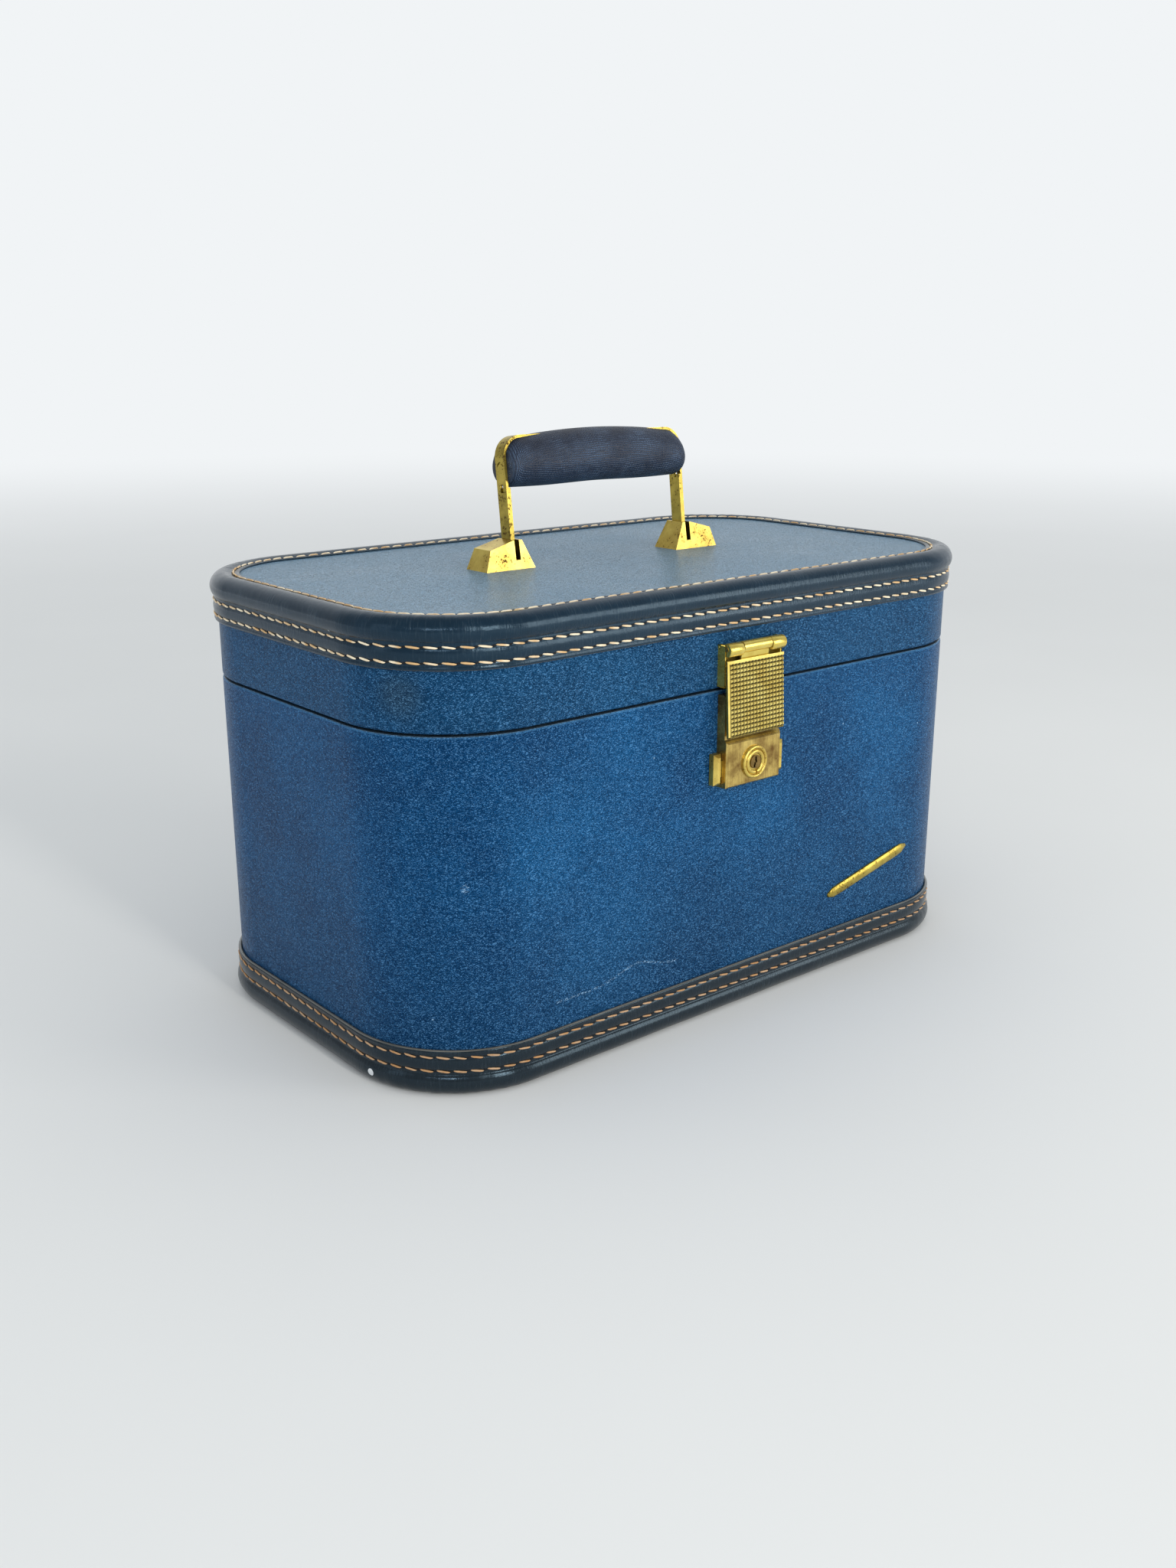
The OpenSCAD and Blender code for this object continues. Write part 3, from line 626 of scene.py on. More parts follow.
# ---------- stitching ----------
# Waxed linen thread, saddle stitched through the bindings and the boards: one
# row on the lap of the lid and two along each band. Stitches lean a little.

STITCH_LONG, STITCH_WIDE, STITCH_THICK, STITCH_LIFT = 5.5, 0.88, 0.7, 0.3
HOLE_HALF, HOLE_LIFT = (0.78, 0.7, 0.16), 0.02

# Waxed linen: cream where it is clean and tan where the wax holds dirt, which is
# all of it near the ground.
linen, tree, shader = new_material("waxed_linen_thread")
place = add(tree, "ShaderNodeTexCoord", {})
at = add(tree, "ShaderNodeSeparateXYZ", {0: place.outputs["Object"]})
dye = add(
    tree, "ShaderNodeTexNoise", {"Vector": place.outputs["Object"], "Scale": 1 / (9 * MM), "Detail": 3.0}
)
tone = add(tree, "ShaderNodeMapRange", {"Value": dye, "From Min": 0.38, "From Max": 0.6})
tone = add(
    tree, "ShaderNodeMix", {0: tone, 6: hex_colour("d7b07c"), 7: hex_colour("f5e7ca")}, data_type="RGBA"
)
low = add(
    tree,
    "ShaderNodeMapRange",
    {"Value": at.outputs["Z"], "From Min": 0.03, "From Max": 0.15, "To Min": 0.75, "To Max": 0.0},
)
tone = add(tree, "ShaderNodeMix", {0: low, 6: tone.outputs[2], 7: hex_colour("a37243")}, data_type="RGBA")
strand = add(
    tree,
    "ShaderNodeTexNoise",
    {"Vector": place.outputs["Object"], "Scale": 1 / (0.5 * MM), "Detail": 2.0},
)
bump = add(tree, "ShaderNodeBump", {"Height": strand, "Strength": 0.5, "Distance": 0.12 * MM})
set_sockets(tree, shader, {"Base Color": tone.outputs[2], "Roughness": 0.6, "Normal": bump})

# Painted shade, with wax and dirt: the mouth of a needle hole is drawn near black.
painted_hole_shade, tree, shader = new_material("hole_shade_wax")
place = add(tree, "ShaderNodeTexCoord", {})
shade_and_grime = add(tree, "ShaderNodeTexNoise", {"Vector": place.outputs["Object"], "Scale": 1 / (1.0 * MM)})
tone = add(
    tree, "ShaderNodeMix", {0: shade_and_grime, 6: hex_colour("07090c"), 7: hex_colour("12161b")}, data_type="RGBA"
)
set_sockets(tree, shader, {"Base Color": tone.outputs[2], "Roughness": 0.9})


def thread_loop():
    """One stitch along X, blunt at its ends, which dive into the needle holes."""
    bm = bmesh.new()
    bmesh.ops.create_uvsphere(bm, u_segments=8, v_segments=10, radius=1)
    for vert in bm.verts:
        along = vert.co.z
        blunt = max(0.0, 1 - along**6) ** 0.5 / max(0.2, (1 - along**2) ** 0.5)
        twist = 1 + 0.07 * math.sin(along * 9 + math.atan2(vert.co.y, vert.co.x) * 2)
        vert.co = (
            along * STITCH_LONG / 2,
            vert.co.y * blunt * twist * STITCH_WIDE / 2 * (1 - 0.25 * along**2),
            vert.co.x * blunt * twist * STITCH_THICK / 2 - 0.6 * abs(along) ** 7,
        )
    bmesh.ops.recalc_face_normals(bm, faces=bm.faces)
    mesh = bpy.data.meshes.new("thread_loop")
    bm.to_mesh(mesh)
    bm.free()
    return mesh


def hole_mouth_shade():
    """The mouth of one needle hole, as a thin lens across the row, dark with painted shade."""
    bm = bmesh.new()
    bmesh.ops.create_uvsphere(bm, u_segments=8, v_segments=4, radius=1)
    bmesh.ops.scale(bm, vec=HOLE_HALF, verts=bm.verts)
    for face in bm.faces:
        face.material_index = 1
    mesh = bpy.data.meshes.new("hole_mouth_shade")
    bm.to_mesh(mesh)
    bm.free()
    return mesh


# Each needle hole gets a lens of painted shade.
loop, mark = thread_loop(), hole_mouth_shade()
for seed, (name, body, out, height, face_up, slope) in enumerate(
    (
        ("lid_top_stitches", "lid", -TOP_ROW_IN, TOP_ROW_Z, True, 6),
        ("lid_upper_stitches", "lid", ROW_OUT[0], ROW_Z[0], False, -8),
        ("lid_lower_stitches", "lid", ROW_OUT[1], ROW_Z[1], False, -8),
        ("base_upper_stitches", "base", ROW_OUT[1], TURNED_OVER - ROW_Z[1], False, -8),
        ("base_lower_stitches", "base", ROW_OUT[0], TURNED_OVER - ROW_Z[0], False, -8),
    )
):
    draw = random.Random(seed)
    bm = bmesh.new()
    for k in range(STITCHES):
        for shape, at_stitch, lift in ((loop, k + 0.5, STITCH_LIFT), (mark, k, HOLE_LIFT)):
            point, way = around(at_stitch * PITCH)
            along = Vector((-way.y, way.x, 0))
            outward = Vector((0, 0, 1)) if face_up else Vector((way.x, way.y, 0))
            lean = math.radians(slope + draw.uniform(-2.5, 2.5))
            turn = Matrix((along, outward.cross(along), outward)).transposed()
            turn = turn.to_4x4() @ Matrix.Rotation(lean, 4, "Z")
            long = draw.uniform(0.95, 1.04) * MM
            wide = draw.uniform(0.92, 1.06) * MM
            stretch = Matrix.Diagonal((long, wide, MM, 1))
            spot = point + way * out * MM
            spot = Vector((spot.x, spot.y, height * MM)) + outward * lift * MM
            start = len(bm.verts)
            bm.from_mesh(shape)
            bm.verts.ensure_lookup_table()
            placed = Matrix.Translation(spot) @ turn @ stretch
            bmesh.ops.transform(bm, matrix=placed, verts=bm.verts[start:])
    row = finish_piece(bm, name, linen, painted_hole_shade)
    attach(row, body)


# ---------- brass fittings ----------
# Pressed steel plated with brass: hasp, lock, slides, handle, feet and hinges. The
# plate has pitted to small brown specks, most where hands and damp reach.

# The hasp's face leans back by this share of its height. The valleys between its
# points lie between two planes, given by their Y at the floor.
HASP_LEAN = 0.05675
VALLEY_TOP, VALLEY_FLOOR = -107.77 * MM, -107.52 * MM


def old_brass(name, bright, dull, pits, rough, brushed=0.0, shade_and_grime=0.0, slots=0.0):
    """Brass plate of two colours and a roughness, rough. The other values are how
    much of each mark shows."""
    material, tree, shader = new_material(name)
    place = add(tree, "ShaderNodeTexCoord", {})
    cloud = add(
        tree,
        "ShaderNodeTexNoise",
        {"Vector": place.outputs["Object"], "Scale": 1 / (10 * MM), "Detail": 4.0, "Roughness": 0.6},
    )
    pit = add(
        tree,
        "ShaderNodeTexNoise",
        {"Vector": place.outputs["Object"], "Scale": 1 / (1.1 * MM), "Detail": 3.0, "Roughness": 0.6},
    )
    both = add(tree, "ShaderNodeMath", {0: cloud, 1: 0.5, 2: pit}, operation="MULTIPLY_ADD")
    mask = add(
        tree,
        "ShaderNodeMapRange",
        {"Value": both, "From Min": 0.98 - pits, "From Max": 1.04 - pits, "To Max": 0.85},
    )
    haze = add(tree, "ShaderNodeMapRange", {"Value": cloud, "From Min": 0.36, "From Max": 0.66})
    tone = add(
        tree, "ShaderNodeMix", {0: haze, 6: hex_colour(bright), 7: hex_colour(dull)}, data_type="RGBA"
    )
    # Polishing lines, 0.4 mm apart, run up and down.
    lines = add(
        tree,
        "ShaderNodeMapping",
        {"Vector": place.outputs["Object"], "Scale": (1 / (0.4 * MM), 1 / (0.4 * MM), 1 / (9 * MM))},
    )
    lines = add(tree, "ShaderNodeTexNoise", {"Vector": lines, "Scale": 1.0, "Detail": 2.0})
    streak = add(
        tree, "ShaderNodeMapRange", {"Value": lines, "From Min": 0.4, "From Max": 0.65, "To Max": brushed}
    )
    # Painted shade, with a little grime, darkens the sides of the points that face down or to the right,
    # and fills the valleys between them, 0.3 to 0.55 mm below the hasp's leaning face. It also darkens
    # narrow slots, whose walls stand square across the case, as painted shade.
    valley = add(
        tree,
        "ShaderNodeVectorMath",
        {0: place.outputs["Object"], 1: (0, 1, -HASP_LEAN)},
        operation="DOT_PRODUCT",
    )
    valley = add(
        tree,
        "ShaderNodeMapRange",
        {
            "Value": valley.outputs["Value"],
            "From Min": VALLEY_TOP,
            "From Max": VALLEY_FLOOR,
            "To Max": 0.8 * shade_and_grime,
        },
    )
    facing = add(tree, "ShaderNodeSeparateXYZ", {0: place.outputs["Normal"]})
    across = add(tree, "ShaderNodeMath", {0: facing.outputs["X"]}, operation="ABSOLUTE")
    across = add(
        tree, "ShaderNodeMapRange", {"Value": across, "From Min": 0.97, "From Max": 0.99, "To Max": slots}
    )
    facing = add(
        tree, "ShaderNodeMath", {0: facing.outputs["X"], 1: facing.outputs["Z"]}, operation="SUBTRACT"
    )
    facing = add(
        tree, "ShaderNodeMapRange", {"Value": facing, "From Min": 0.05, "From Max": 0.25, "To Max": shade_and_grime}
    )
    # The painted shade on the points, in the slots and in the valleys.
    hollow_shade = add(tree, "ShaderNodeMath", {0: facing, 1: across}, operation="MAXIMUM")
    hollow_shade = add(tree, "ShaderNodeMath", {0: hollow_shade, 1: valley}, operation="MAXIMUM")
    for mark, code in ((streak, "6d4d24"), (mask, "5d431f"), (hollow_shade, "2a200c")):
        tone = add(
            tree, "ShaderNodeMix", {0: mark, 6: tone.outputs[2], 7: hex_colour(code)}, data_type="RGBA"
        )
    gloss = add(tree, "ShaderNodeMapRange", {"Value": mask, "To Min": rough, "To Max": 0.65})
    dent = add(tree, "ShaderNodeMath", {0: mask, 1: -0.6, 2: lines}, operation="MULTIPLY_ADD")
    bump = add(tree, "ShaderNodeBump", {"Height": dent, "Strength": 0.2, "Distance": 0.06 * MM})
    # The old lacquer over the plate scatters a little of the light.
    set_sockets(
        tree,
        shader,
        {"Base Color": tone.outputs[2], "Roughness": gloss, "Normal": bump, "Metallic": 0.85},
    )
    return material


# Bright plate is still lemon gold, and knurled plate has painted shade between its points. Pitted plate
# is duller, with brown specks. Slotted plate is the same with painted shade in its slots, handled plate
# is olive, and the key's plug is dark with grime.
# Bronzed plate has browned all over under old lacquer and shows its polishing.
bright_brass = old_brass("bright_brass_plate", "ecd874", "d8bd58", 0.02, 0.22)
knurled_brass = old_brass("knurled_brass_plate", "f4e084", "dcc062", 0.03, 0.22, shade_and_grime=1.0)
pitted_brass = old_brass("pitted_brass_plate", "e2ca6a", "bfa14c", 0.1, 0.3)
slotted_brass = old_brass("slotted_brass_plate", "e2ca6a", "bfa14c", 0.1, 0.3, slots=0.95)
handled_brass = old_brass("handled_brass_plate", "c6b052", "998637", 0.13, 0.33)
grimy_brass = old_brass("grimy_brass_plug", "8f7440", "4a3a1c", 0.1, 0.35)
bronzed_brass = old_brass("bronzed_brass_plate", "dcc270", "76582a", 0.04, 0.25, 0.35)
dress(bright_brass, "tray_tab_left", "tray_tab_right", "hasp_leaf")
dress(knurled_brass, "hasp_face")
dress(grimy_brass, "key_plug")
dress(handled_brass, "bail", "arm_strip_left", "arm_strip_right")
dress(slotted_brass, "foot_left", "foot_right")
dress(
    pitted_brass,
    "slide_left", "slide_right",
    "hinge_base_leaf_left", "hinge_base_leaf_right", "hinge_lid_leaf_left", "hinge_lid_leaf_right",
    "mirror_frame", "key_collar",
)  # fmt: skip
dress(
    bronzed_brass,
    "lock_body", "hasp_pin", "foot_pin_left", "foot_pin_right", "hinge_pin_left",
    "hinge_pin_right",
)  # fmt: skip


# ---------- hasp bracket ----------
# A channel pressed from brass-plated sheet and riveted to the lid. Its top edge is
# rolled round the hasp's pin in two knuckles.

FRONT_WALL = -93.5
BRACKET_HALF, BRACKET_SHEET, FLANGE_OUT = 17.0, 1.1, 3.9
PIN_OUT, PIN_Z = 4.6, 164.0
KNUCKLE_R, KNUCKLE_Z = 2.95, 163.5
KNUCKLE_X = (8.5, 16.6)
BEDDED = -0.6  # the channel is pressed this far into the skin
INSET = 0.2  # keeps the faces of two overlapping blocks apart
bracket_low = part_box("lock_bracket")[0][2] / MM


def soften(bm, edges, radius):
    """Rounds edges a little, as the press leaves them."""
    bmesh.ops.bevel(
        bm, geom=edges, offset=radius, segments=3, profile=0.5, affect="EDGES", material=-1
    )


bm = bmesh.new()
back_x = BRACKET_HALF - INSET
flange_z = (bracket_low, PIN_Z + 1.4)
web_x = (KNUCKLE_X[0] + INSET, KNUCKLE_X[1] - INSET)
web_z = (PIN_Z - 1.6, PIN_Z + 0.8)
for x, out, z in (
    ((-back_x, back_x), (BEDDED, 1), (bracket_low + INSET, PIN_Z + 0.6)),
    ((-BRACKET_HALF, BRACKET_SHEET - BRACKET_HALF), (BEDDED, FLANGE_OUT), flange_z),
    ((BRACKET_HALF - BRACKET_SHEET, BRACKET_HALF), (BEDDED, FLANGE_OUT), flange_z),
    ((-web_x[1], -web_x[0]), (INSET, PIN_OUT), web_z),
    (web_x, (INSET, PIN_OUT), web_z),
):
    sheet = bmesh.ops.create_cube(bm, size=1)["verts"]
    for vert in sheet:
        share = [c + 0.5 for c in vert.co]
        vert.co = (
            x[0] + share[0] * (x[1] - x[0]),
            FRONT_WALL - out[0] - share[1] * (out[1] - out[0]),
            z[0] + share[2] * (z[1] - z[0]),
        )
    soften(bm, list({edge for vert in sheet for edge in vert.link_edges}), 0.35)
for side in (-1, 1):
    rolled = bmesh.ops.create_cone(
        bm,
        cap_ends=True,
        segments=48,
        radius1=KNUCKLE_R,
        radius2=KNUCKLE_R,
        depth=KNUCKLE_X[1] - KNUCKLE_X[0],
    )["verts"]
    bmesh.ops.rotate(bm, matrix=Matrix.Rotation(math.pi / 2, 3, "Y"), verts=rolled)
    middle = side * (KNUCKLE_X[0] + KNUCKLE_X[1]) / 2
    bmesh.ops.translate(bm, vec=(middle, FRONT_WALL - PIN_OUT, KNUCKLE_Z), verts=rolled)
    edges = {edge for vert in rolled for edge in vert.link_edges}
    rims = [edge for edge in edges if abs(edge.verts[0].co.x - edge.verts[1].co.x) < 1]
    soften(bm, rims, 0.5)
bmesh.ops.scale(bm, vec=(MM, MM, MM), verts=bm.verts)
bmesh.ops.recalc_face_normals(bm, faces=bm.faces)
bracket = finish_piece(bm, "hasp_bracket", bright_brass)
for face in bracket.data.polygons:
    face.use_smooth = max(abs(c) for c in face.normal) < 0.999
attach(bracket, "lid")
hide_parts("lock_bracket")


# ---------- rivets ----------
# Small domed tubular rivets, brass plated, that fix the four hinge leaves to the
# boards at the back.

HINGE_X, LEAF_FACE_Y = 85.0, 94.7
RIVET_R, RIVET_H = 2.1, 0.9
for name, body, heights in (
    ("lid_hinge_rivets", "lid", (154.5, 160.5)),
    ("base_hinge_rivets", "base", (138.5, 132.5)),
):
    bm = bmesh.new()
    for side in (-1, 1):
        for x, z in ((-12, heights[0]), (12, heights[0]), (0, heights[1])):
            dome = bmesh.ops.create_uvsphere(bm, u_segments=20, v_segments=12, radius=1)["verts"]
            for vert in dome:
                dip = 0.35 * math.exp(-((Vector(vert.co.xy).length / 0.3) ** 2))
                level = max(0.0, vert.co.z) - dip if vert.co.z > 0 else 0.1 * vert.co.z
                vert.co = (
                    (side * HINGE_X + x + RIVET_R * vert.co.x) * MM,
                    (LEAF_FACE_Y + RIVET_H * level) * MM,
                    (z - RIVET_R * vert.co.y) * MM,
                )
    bmesh.ops.recalc_face_normals(bm, faces=bm.faces)
    rivets = finish_piece(bm, name, pitted_brass)
    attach(rivets, body)


# ---------- trim bar ----------
# A plain pressed brass bar, softly ridged and rounded at both ends, pinned low on
# the right of the front. It leans up to the right.

BAR_LONG, BAR_WIDE, BAR_HIGH = 57.0, 5.0, 1.4
BAR_X, BAR_Z, BAR_SLOPE = 86.5, 43.0, 13.0
bm = bmesh.new()
bmesh.ops.create_cube(bm, size=2)
bmesh.ops.subdivide_edges(bm, edges=bm.edges[:], cuts=15, use_grid_fill=True)
for vert in bm.verts:
    x, z = vert.co.x, vert.co.z
    width = 0.3 + 0.7 * math.sqrt(1 - abs(x) ** 12)
    crown = (1 - 0.5 * z * z) * (1 - 0.5 * abs(x) ** 9)
    outward = BAR_HIGH * crown if vert.co.y < -0.99 else BAR_HIGH * crown * (1 - vert.co.y) / 2
    vert.co = (x * BAR_LONG / 2, -outward, z * width * BAR_WIDE / 2)
bmesh.ops.rotate(bm, matrix=Matrix.Rotation(math.radians(-BAR_SLOPE), 3, "Y"), verts=bm.verts)
bmesh.ops.translate(bm, vec=(BAR_X, FRONT_WALL, BAR_Z), verts=bm.verts)
bmesh.ops.scale(bm, vec=(MM, MM, MM), verts=bm.verts)
bmesh.ops.recalc_face_normals(bm, faces=bm.faces)
trim_bar = finish_piece(bm, "trim_bar", handled_brass)
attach(trim_bar, "base")


# ---------- grip ----------
# Moulded leather-grained cover, tight over a firm core round the handle's bar. It
# swells a little at the crown, and the strap shows on top at both ends.

HANDLE_Y, PIVOT_H, HANDLE_LEAN = 2.8, 7.5, 6.7
GRIP_HALF, GRIP_DEEP, GRIP_CROWN, GRIP_LOW, ARCH_R = 50.8, 20.0, 58.2, 34.3, 361.0
SHOULDER, TOP_R, LOW_R, SIDE_R = 9, 7.5, 2.5, 4  # of the rounding at both ends
SHOULDER_STEPS, STRAIGHT_STEPS, ROUND_STEPS = 8, 22, 72


def rounded_end(x, r):
    """How far a corner of radius r has drawn in at x."""
    t = max(0.0, r - (GRIP_HALF - abs(x)))
    return r - math.sqrt(max(0.0, r * r - t * t))


# Stations along the grip as (x, share of the section): flat ends, then rounded
# shoulders, then even steps to the middle, and the same again the other way.
stations = [(-GRIP_HALF, 0.0), (-GRIP_HALF, 0.35), (-GRIP_HALF, 0.7), (-GRIP_HALF, 0.93)]
for k in range(1, SHOULDER_STEPS + 1):
    stations.append((-GRIP_HALF + SHOULDER * (1 - math.cos(k * math.pi / 2 / SHOULDER_STEPS)), 1.0))
for k in range(1, STRAIGHT_STEPS + 1):
    stations.append((-(GRIP_HALF - SHOULDER) * (1 - k / STRAIGHT_STEPS), 1.0))
stations += [(-x, share) for x, share in reversed(stations[:-1])]

bm = bmesh.new()
bmesh.ops.create_uvsphere(bm, u_segments=ROUND_STEPS, v_segments=len(stations) - 1, radius=1)
uv = bm.loops.layers.uv.new("cover")
grip_place = {}
for vert in bm.verts:
    row = round(math.acos(max(-1.0, min(1.0, vert.co.z))) / math.pi * (len(stations) - 1))
    x, share = stations[row]
    angle = math.atan2(vert.co.y, vert.co.x) + math.pi / ROUND_STEPS
    top = GRIP_CROWN - x * x / (2 * ARCH_R) - rounded_end(x, TOP_R)
    low = GRIP_LOW + rounded_end(x, LOW_R)
    deep = GRIP_DEEP / 2 - 0.7 * rounded_end(x, SIDE_R) - 0.5 * (x / GRIP_HALF) ** 2
    r = min(deep, (top - low) / 2)
    lift = math.sin(angle)
    half_straight = (top - low) / 2 - r
    # Fingers have pressed the underside into four shallow waves.
    worn = 0.22 * max(0.0, -lift) * math.cos(x / 9.5) * share
    y = deep * math.cos(angle) * share
    z = (r * lift + math.copysign(half_straight, lift)) * share
    vert.co = (x, y, (top + low) / 2 + z + worn - PIVOT_H)
    grip_place[vert.index] = (x, angle, r, half_straight)
for face in bm.faces:
    angles = [grip_place[loop.vert.index][1] for loop in face.loops]
    for loop in face.loops:
        x, angle, r, half_straight = grip_place[loop.vert.index]
        if max(angles) - angle > math.pi:
            angle += math.tau
        round_it = r * angle + half_straight * (2 * math.floor(angle / math.pi) + 1)
        loop[uv].uv = (x * MM, round_it * MM)
bmesh.ops.rotate(bm, matrix=Matrix.Rotation(math.radians(-HANDLE_LEAN), 3, "X"), verts=bm.verts)
bmesh.ops.translate(bm, vec=(0, HANDLE_Y, PANEL_Z + PIVOT_H), verts=bm.verts)
bmesh.ops.scale(bm, vec=(MM, MM, MM), verts=bm.verts)
bmesh.ops.recalc_face_normals(bm, faces=bm.faces)

# Grained cover: a mesh of fine raised threads, about 0.9 mm apart both ways, broken by long wavy cracks.
# The tops of the threads are painted paler, partly wear where hands have rubbed it and partly painted
# glints.
grip_cover, tree, shader = new_material("cloth_grained_cover")
place = add(tree, "ShaderNodeTexCoord", {})
skin = add(tree, "ShaderNodeUVMap", {}, uv_map="cover")
drift = add(
    tree, "ShaderNodeTexNoise", {"Vector": place.outputs["Object"], "Scale": 1 / (12 * MM), "Detail": 2.0}
)
drift = add(
    tree, "ShaderNodeVectorMath", {0: drift.outputs["Color"], 1: (2.2 * MM,) * 3}, operation="MULTIPLY"
)
woven = add(tree, "ShaderNodeVectorMath", {0: skin, 1: drift}, operation="ADD")
woven = add(tree, "ShaderNodeSeparateXYZ", {0: woven})
raised = []
for axis, gap in (("X", 0.85), ("Y", 0.95)):
    wave = add(
        tree, "ShaderNodeMath", {0: woven.outputs[axis], 1: math.tau / (gap * MM)}, operation="MULTIPLY"
    )
    wave = add(tree, "ShaderNodeMath", {0: wave}, operation="SINE")
    raised.append(add(tree, "ShaderNodeMapRange", {"Value": wave, "From Min": -1.0}))
mesh_height = add(tree, "ShaderNodeMath", {0: raised[0], 1: raised[1]}, operation="MULTIPLY")
crack = add(tree, "ShaderNodeMapping", {"Vector": skin, "Scale": (1 / (14 * MM), 1 / (1.6 * MM), 1)})
crack = add(tree, "ShaderNodeTexNoise", {"Vector": crack, "Scale": 1.0, "Detail": 3.0, "Distortion": 0.4})
crack = add(tree, "ShaderNodeMath", {0: crack, 1: 0.5}, operation="SUBTRACT")
crack = add(tree, "ShaderNodeMath", {0: crack}, operation="ABSOLUTE")
crack = add(tree, "ShaderNodeMapRange", {"Value": crack, "From Min": 0.0, "From Max": 0.03})
height = add(tree, "ShaderNodeMath", {0: mesh_height, 1: crack}, operation="MULTIPLY")
bump = add(tree, "ShaderNodeBump", {"Height": height, "Strength": 1.0, "Distance": 0.28 * MM})
# Paler tops: wear from hands, and painted glints.
rub = add(
    tree, "ShaderNodeTexNoise", {"Vector": place.outputs["Object"], "Scale": 1 / (15 * MM), "Detail": 4.0}
)
rub = add(tree, "ShaderNodeMapRange", {"Value": rub, "From Min": 0.35, "From Max": 0.65})
rub = add(tree, "ShaderNodeMath", {0: rub, 1: height}, operation="MULTIPLY")
tone = add(
    tree, "ShaderNodeMix", {0: rub, 6: hex_colour("0e1c33"), 7: hex_colour("6480a3")}, data_type="RGBA"
)
set_sockets(tree, shader, {"Base Color": tone.outputs[2], "Roughness": 0.46, "Normal": bump})
grip_piece = finish_piece(bm, "grip_cover", grip_cover)
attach(grip_piece, "handle")
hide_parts("grip")


# ---------- lining ----------
# Rayon satin glued over the boards: gathered round the walls, quilted over thin
# wadding on the ceiling of the lid, and drawn smooth over the inner band.

# How far in from the case's outline, in mm, the linings' back and face lie.
BOARD_IN, LINED_IN = 4.02, 4.8
TURNED_IN_Z = (134.15, 158.85)  # edges of the skin turned in over the two rims
CEILING_Z, CEILING_BACK_Z = 184.6, 185.3
FLOOR_Z, FLOOR_BACK_Z = 6.15, 5.4
LINING_STEPS = 4 * STITCHES

# Rayon satin: pale ice blue, with long soft reflections along its gathers and a
# faint watered figure.
satin, tree, shader = new_material("rayon_satin")
place = add(tree, "ShaderNodeTexCoord", {})
moire = add(
    tree,
    "ShaderNodeTexNoise",
    {"Vector": place.outputs["Object"], "Scale": 1 / (14 * MM), "Detail": 3.0, "Distortion": 1.5},
)
tone = add(
    tree, "ShaderNodeMix", {0: moire, 6: hex_colour("869db7"), 7: hex_colour("b2c4d8")}, data_type="RGBA"
)
# Threads 0.5 mm apart, drawn coarser than they are so that they show.
thread = add(
    tree,
    "ShaderNodeTexNoise",
    {"Vector": place.outputs["Object"], "Scale": 1 / (0.5 * MM), "Detail": 1.0},
)
bump = add(tree, "ShaderNodeBump", {"Height": thread, "Strength": 0.25, "Distance": 0.05 * MM})
set_sockets(
    tree, shader, {"Base Color": tone.outputs[2], "Roughness": 0.38, "Normal": bump, "Sheen Weight": 0.4}
)
dress(satin, "tray_rest_left", "tray_rest_right")


def gathered(depth, low, high):
    """Makes soft upright folds, between two heights, on the side that faces in."""

    def shaped(travel, point, out, height):
        if out < -LINED_IN + 0.05:
            fold = noise.noise(Vector((travel / (7 * MM), 3.1, height * 0.012)))
            fold += 0.5 * noise.noise(Vector((travel / (3 * MM), 8.7, height * 0.03)))
            ends = max(0.0, min(1.0, (height - low) / 3, (high - height) / 3))
            out -= depth * ends * (0.5 + fold)
        return out, height

    return shaped


def lined_panel(bm, edge_in, level, height_at):
    """A sheet over a whole panel, drawn in from the case's outline by edge_in mm.
    Height_at gives each point's height for (x, y, level), all in mm."""
    half_w, half_d = CASE_W / 2 / MM - edge_in, CASE_D / 2 / MM - edge_in
    r = CORNER_R / MM - edge_in
    made = bmesh.ops.create_grid(bm, x_segments=132, y_segments=76, size=1)["verts"]
    for vert in made:
        x, y = vert.co.x * half_w, vert.co.y * half_d
        p, q = (abs(x) - half_w + r) / r, (abs(y) - half_d + r) / r
        if p > 0 and q > 0:
            # Turns the square corner of the grid into a round one.
            p, q = p * math.sqrt(1 - q * q / 2), q * math.sqrt(1 - p * p / 2)
            x = math.copysign(half_w - r + p * r, x)
            y = math.copysign(half_d - r + q * r, y)
        vert.co = (x * MM, y * MM, height_at(x, y, level) * MM)
    return made


def thicken(bm, verts, back):
    """Gives a sheet its other face, flat at the height back, and closes its edge."""
    faces = list({face for vert in verts for face in vert.link_faces})
    made = bmesh.ops.extrude_face_region(bm, geom=faces)["geom"]
    for vert in [part for part in made if isinstance(part, bmesh.types.BMVert)]:
        vert.co.z = back * MM


MIRROR_HALF = (101.0, 59.0)  # half the size of the mirror's frame
QUILT = 26.0  # across a diamond of the quilting


def quilted(x, y, level):
    """Diamonds puffed over wadding, flat beneath the mirror and at the walls."""
    u, v = (x + y) / QUILT, (x - y) / QUILT
    puff = abs(math.sin(math.pi * u) * math.sin(math.pi * v)) ** 0.45
    free = max(abs(x) - MIRROR_HALF[0], abs(y) - MIRROR_HALF[1]) / 6
    return level - 2.3 * puff * max(0.0, min(1.0, free))


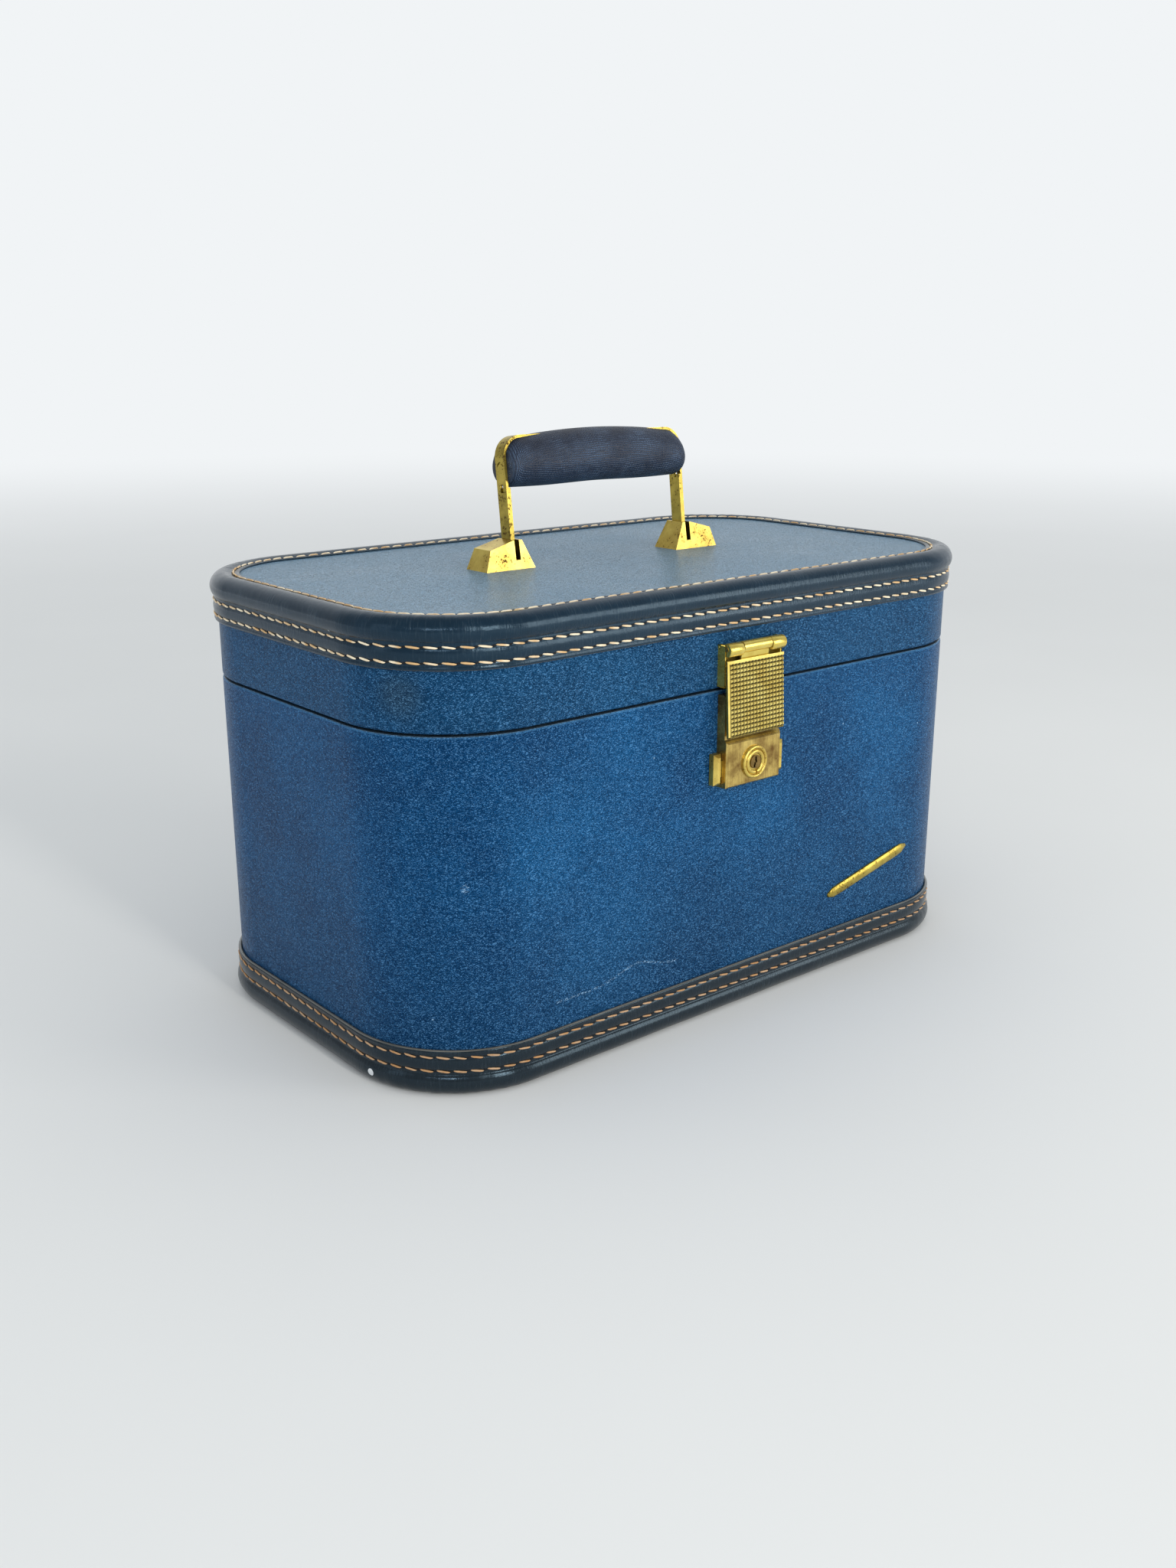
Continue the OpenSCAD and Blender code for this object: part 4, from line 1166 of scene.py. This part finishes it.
bm = wrap(
    [(-BOARD_IN, TURNED_IN_Z[1]), (-BOARD_IN, 171), (-BOARD_IN, 185.2), (-5.0, 185.2), (-5.2, 184.3)]
    + [(-5.2, 184.3 - k * 1.5) for k in range(1, 16)]
    + [(-5.6, 161.0), (-6.0, 160.2), (-5.9, 159.3), (-5.2, TURNED_IN_Z[1])],
    LINING_STEPS,
    gathered(0.9, 161.5, 183.5),
)
ceiling = lined_panel(bm, LINED_IN - 0.4, CEILING_Z, quilted)
thicken(bm, ceiling, CEILING_BACK_Z)
bmesh.ops.recalc_face_normals(bm, faces=bm.faces)
lid_satin = finish_piece(bm, "lid_satin", satin)
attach(lid_satin, "lid")
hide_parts("lid_lining")

bm = wrap(
    [(-BOARD_IN, 5.5), (-BOARD_IN, 70), (-BOARD_IN, TURNED_IN_Z[0]), (-5.0, TURNED_IN_Z[0])]
    + [(-5.2, 133.0 - k * 6.3) for k in range(20)]
    + [(-5.0, 6.0)],
    LINING_STEPS,
    gathered(0.8, 9, 106),
)
floor_cloth = lined_panel(
    bm,
    LINED_IN - 0.4,
    FLOOR_Z,
    lambda x, y, level: level + 0.35 * noise.noise(Vector((x / 34, y / 34, 5.0))) + 0.2,
)
thicken(bm, floor_cloth, FLOOR_BACK_Z)
bmesh.ops.recalc_face_normals(bm, faces=bm.faces)
base_satin = finish_piece(bm, "base_satin", satin)
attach(base_satin, "base")
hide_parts("base_lining")

bm = wrap(
    [(-4.85, 108.2), (-4.85, 143.0), (-5.52, 146.2), (-5.52, 153.3), (-5.66, 153.8), (-6.0, 154.0)]
    + [(-6.35, 153.85), (-6.55, 153.4)]
    + [(-6.6, 153.0 - k * 2.8) for k in range(16)]
    + [(-6.3, 108.2)],
    LINING_STEPS,
    gathered(0.25, 112, 151),
)
collar_satin = finish_piece(bm, "collar_satin", satin)
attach(collar_satin, "base")
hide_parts("base_collar")


# ---------- mirror ----------
# Plain silvered glass, held by a frame of pressed brass on the ceiling of the lid.
# Both are CAD pieces, so only the glass's material is made here.

# Silvered glass: a clear reflection, with a faint haze where the silver has aged.
silvered, tree, shader = new_material("silvered_glass")
place = add(tree, "ShaderNodeTexCoord", {})
film = add(
    tree,
    "ShaderNodeTexNoise",
    {"Vector": place.outputs["Object"], "Scale": 1 / (30 * MM), "Detail": 6.0, "Roughness": 0.7},
)
gloss = add(
    tree,
    "ShaderNodeMapRange",
    {"Value": film, "From Min": 0.55, "From Max": 0.75, "To Min": 0.03, "To Max": 0.16},
)
set_sockets(tree, shader, {"Base Color": hex_colour("e4e9ea"), "Roughness": gloss, "Metallic": 1.0})
dress(silvered, "mirror")


# ---------- tray ----------
# Vacuum-formed polystyrene with a brass pull tab at each end. It rests on two ledges
# inside the collar and lifts out.

# Polystyrene sheet: pale blue and slightly glossy, with a soft formed surface.
polystyrene, tree, shader = new_material("formed_polystyrene")
place = add(tree, "ShaderNodeTexCoord", {})
mottle = add(
    tree, "ShaderNodeTexNoise", {"Vector": place.outputs["Object"], "Scale": 1 / (6 * MM), "Detail": 4.0}
)
tone = add(
    tree, "ShaderNodeMix", {0: mottle, 6: hex_colour("b3c3d3"), 7: hex_colour("c3d0dc")}, data_type="RGBA"
)
bump = add(tree, "ShaderNodeBump", {"Height": mottle, "Strength": 0.2, "Distance": 0.1 * MM})
set_sockets(tree, shader, {"Base Color": tone.outputs[2], "Roughness": 0.35, "Normal": bump})
dress(polystyrene, "tray")
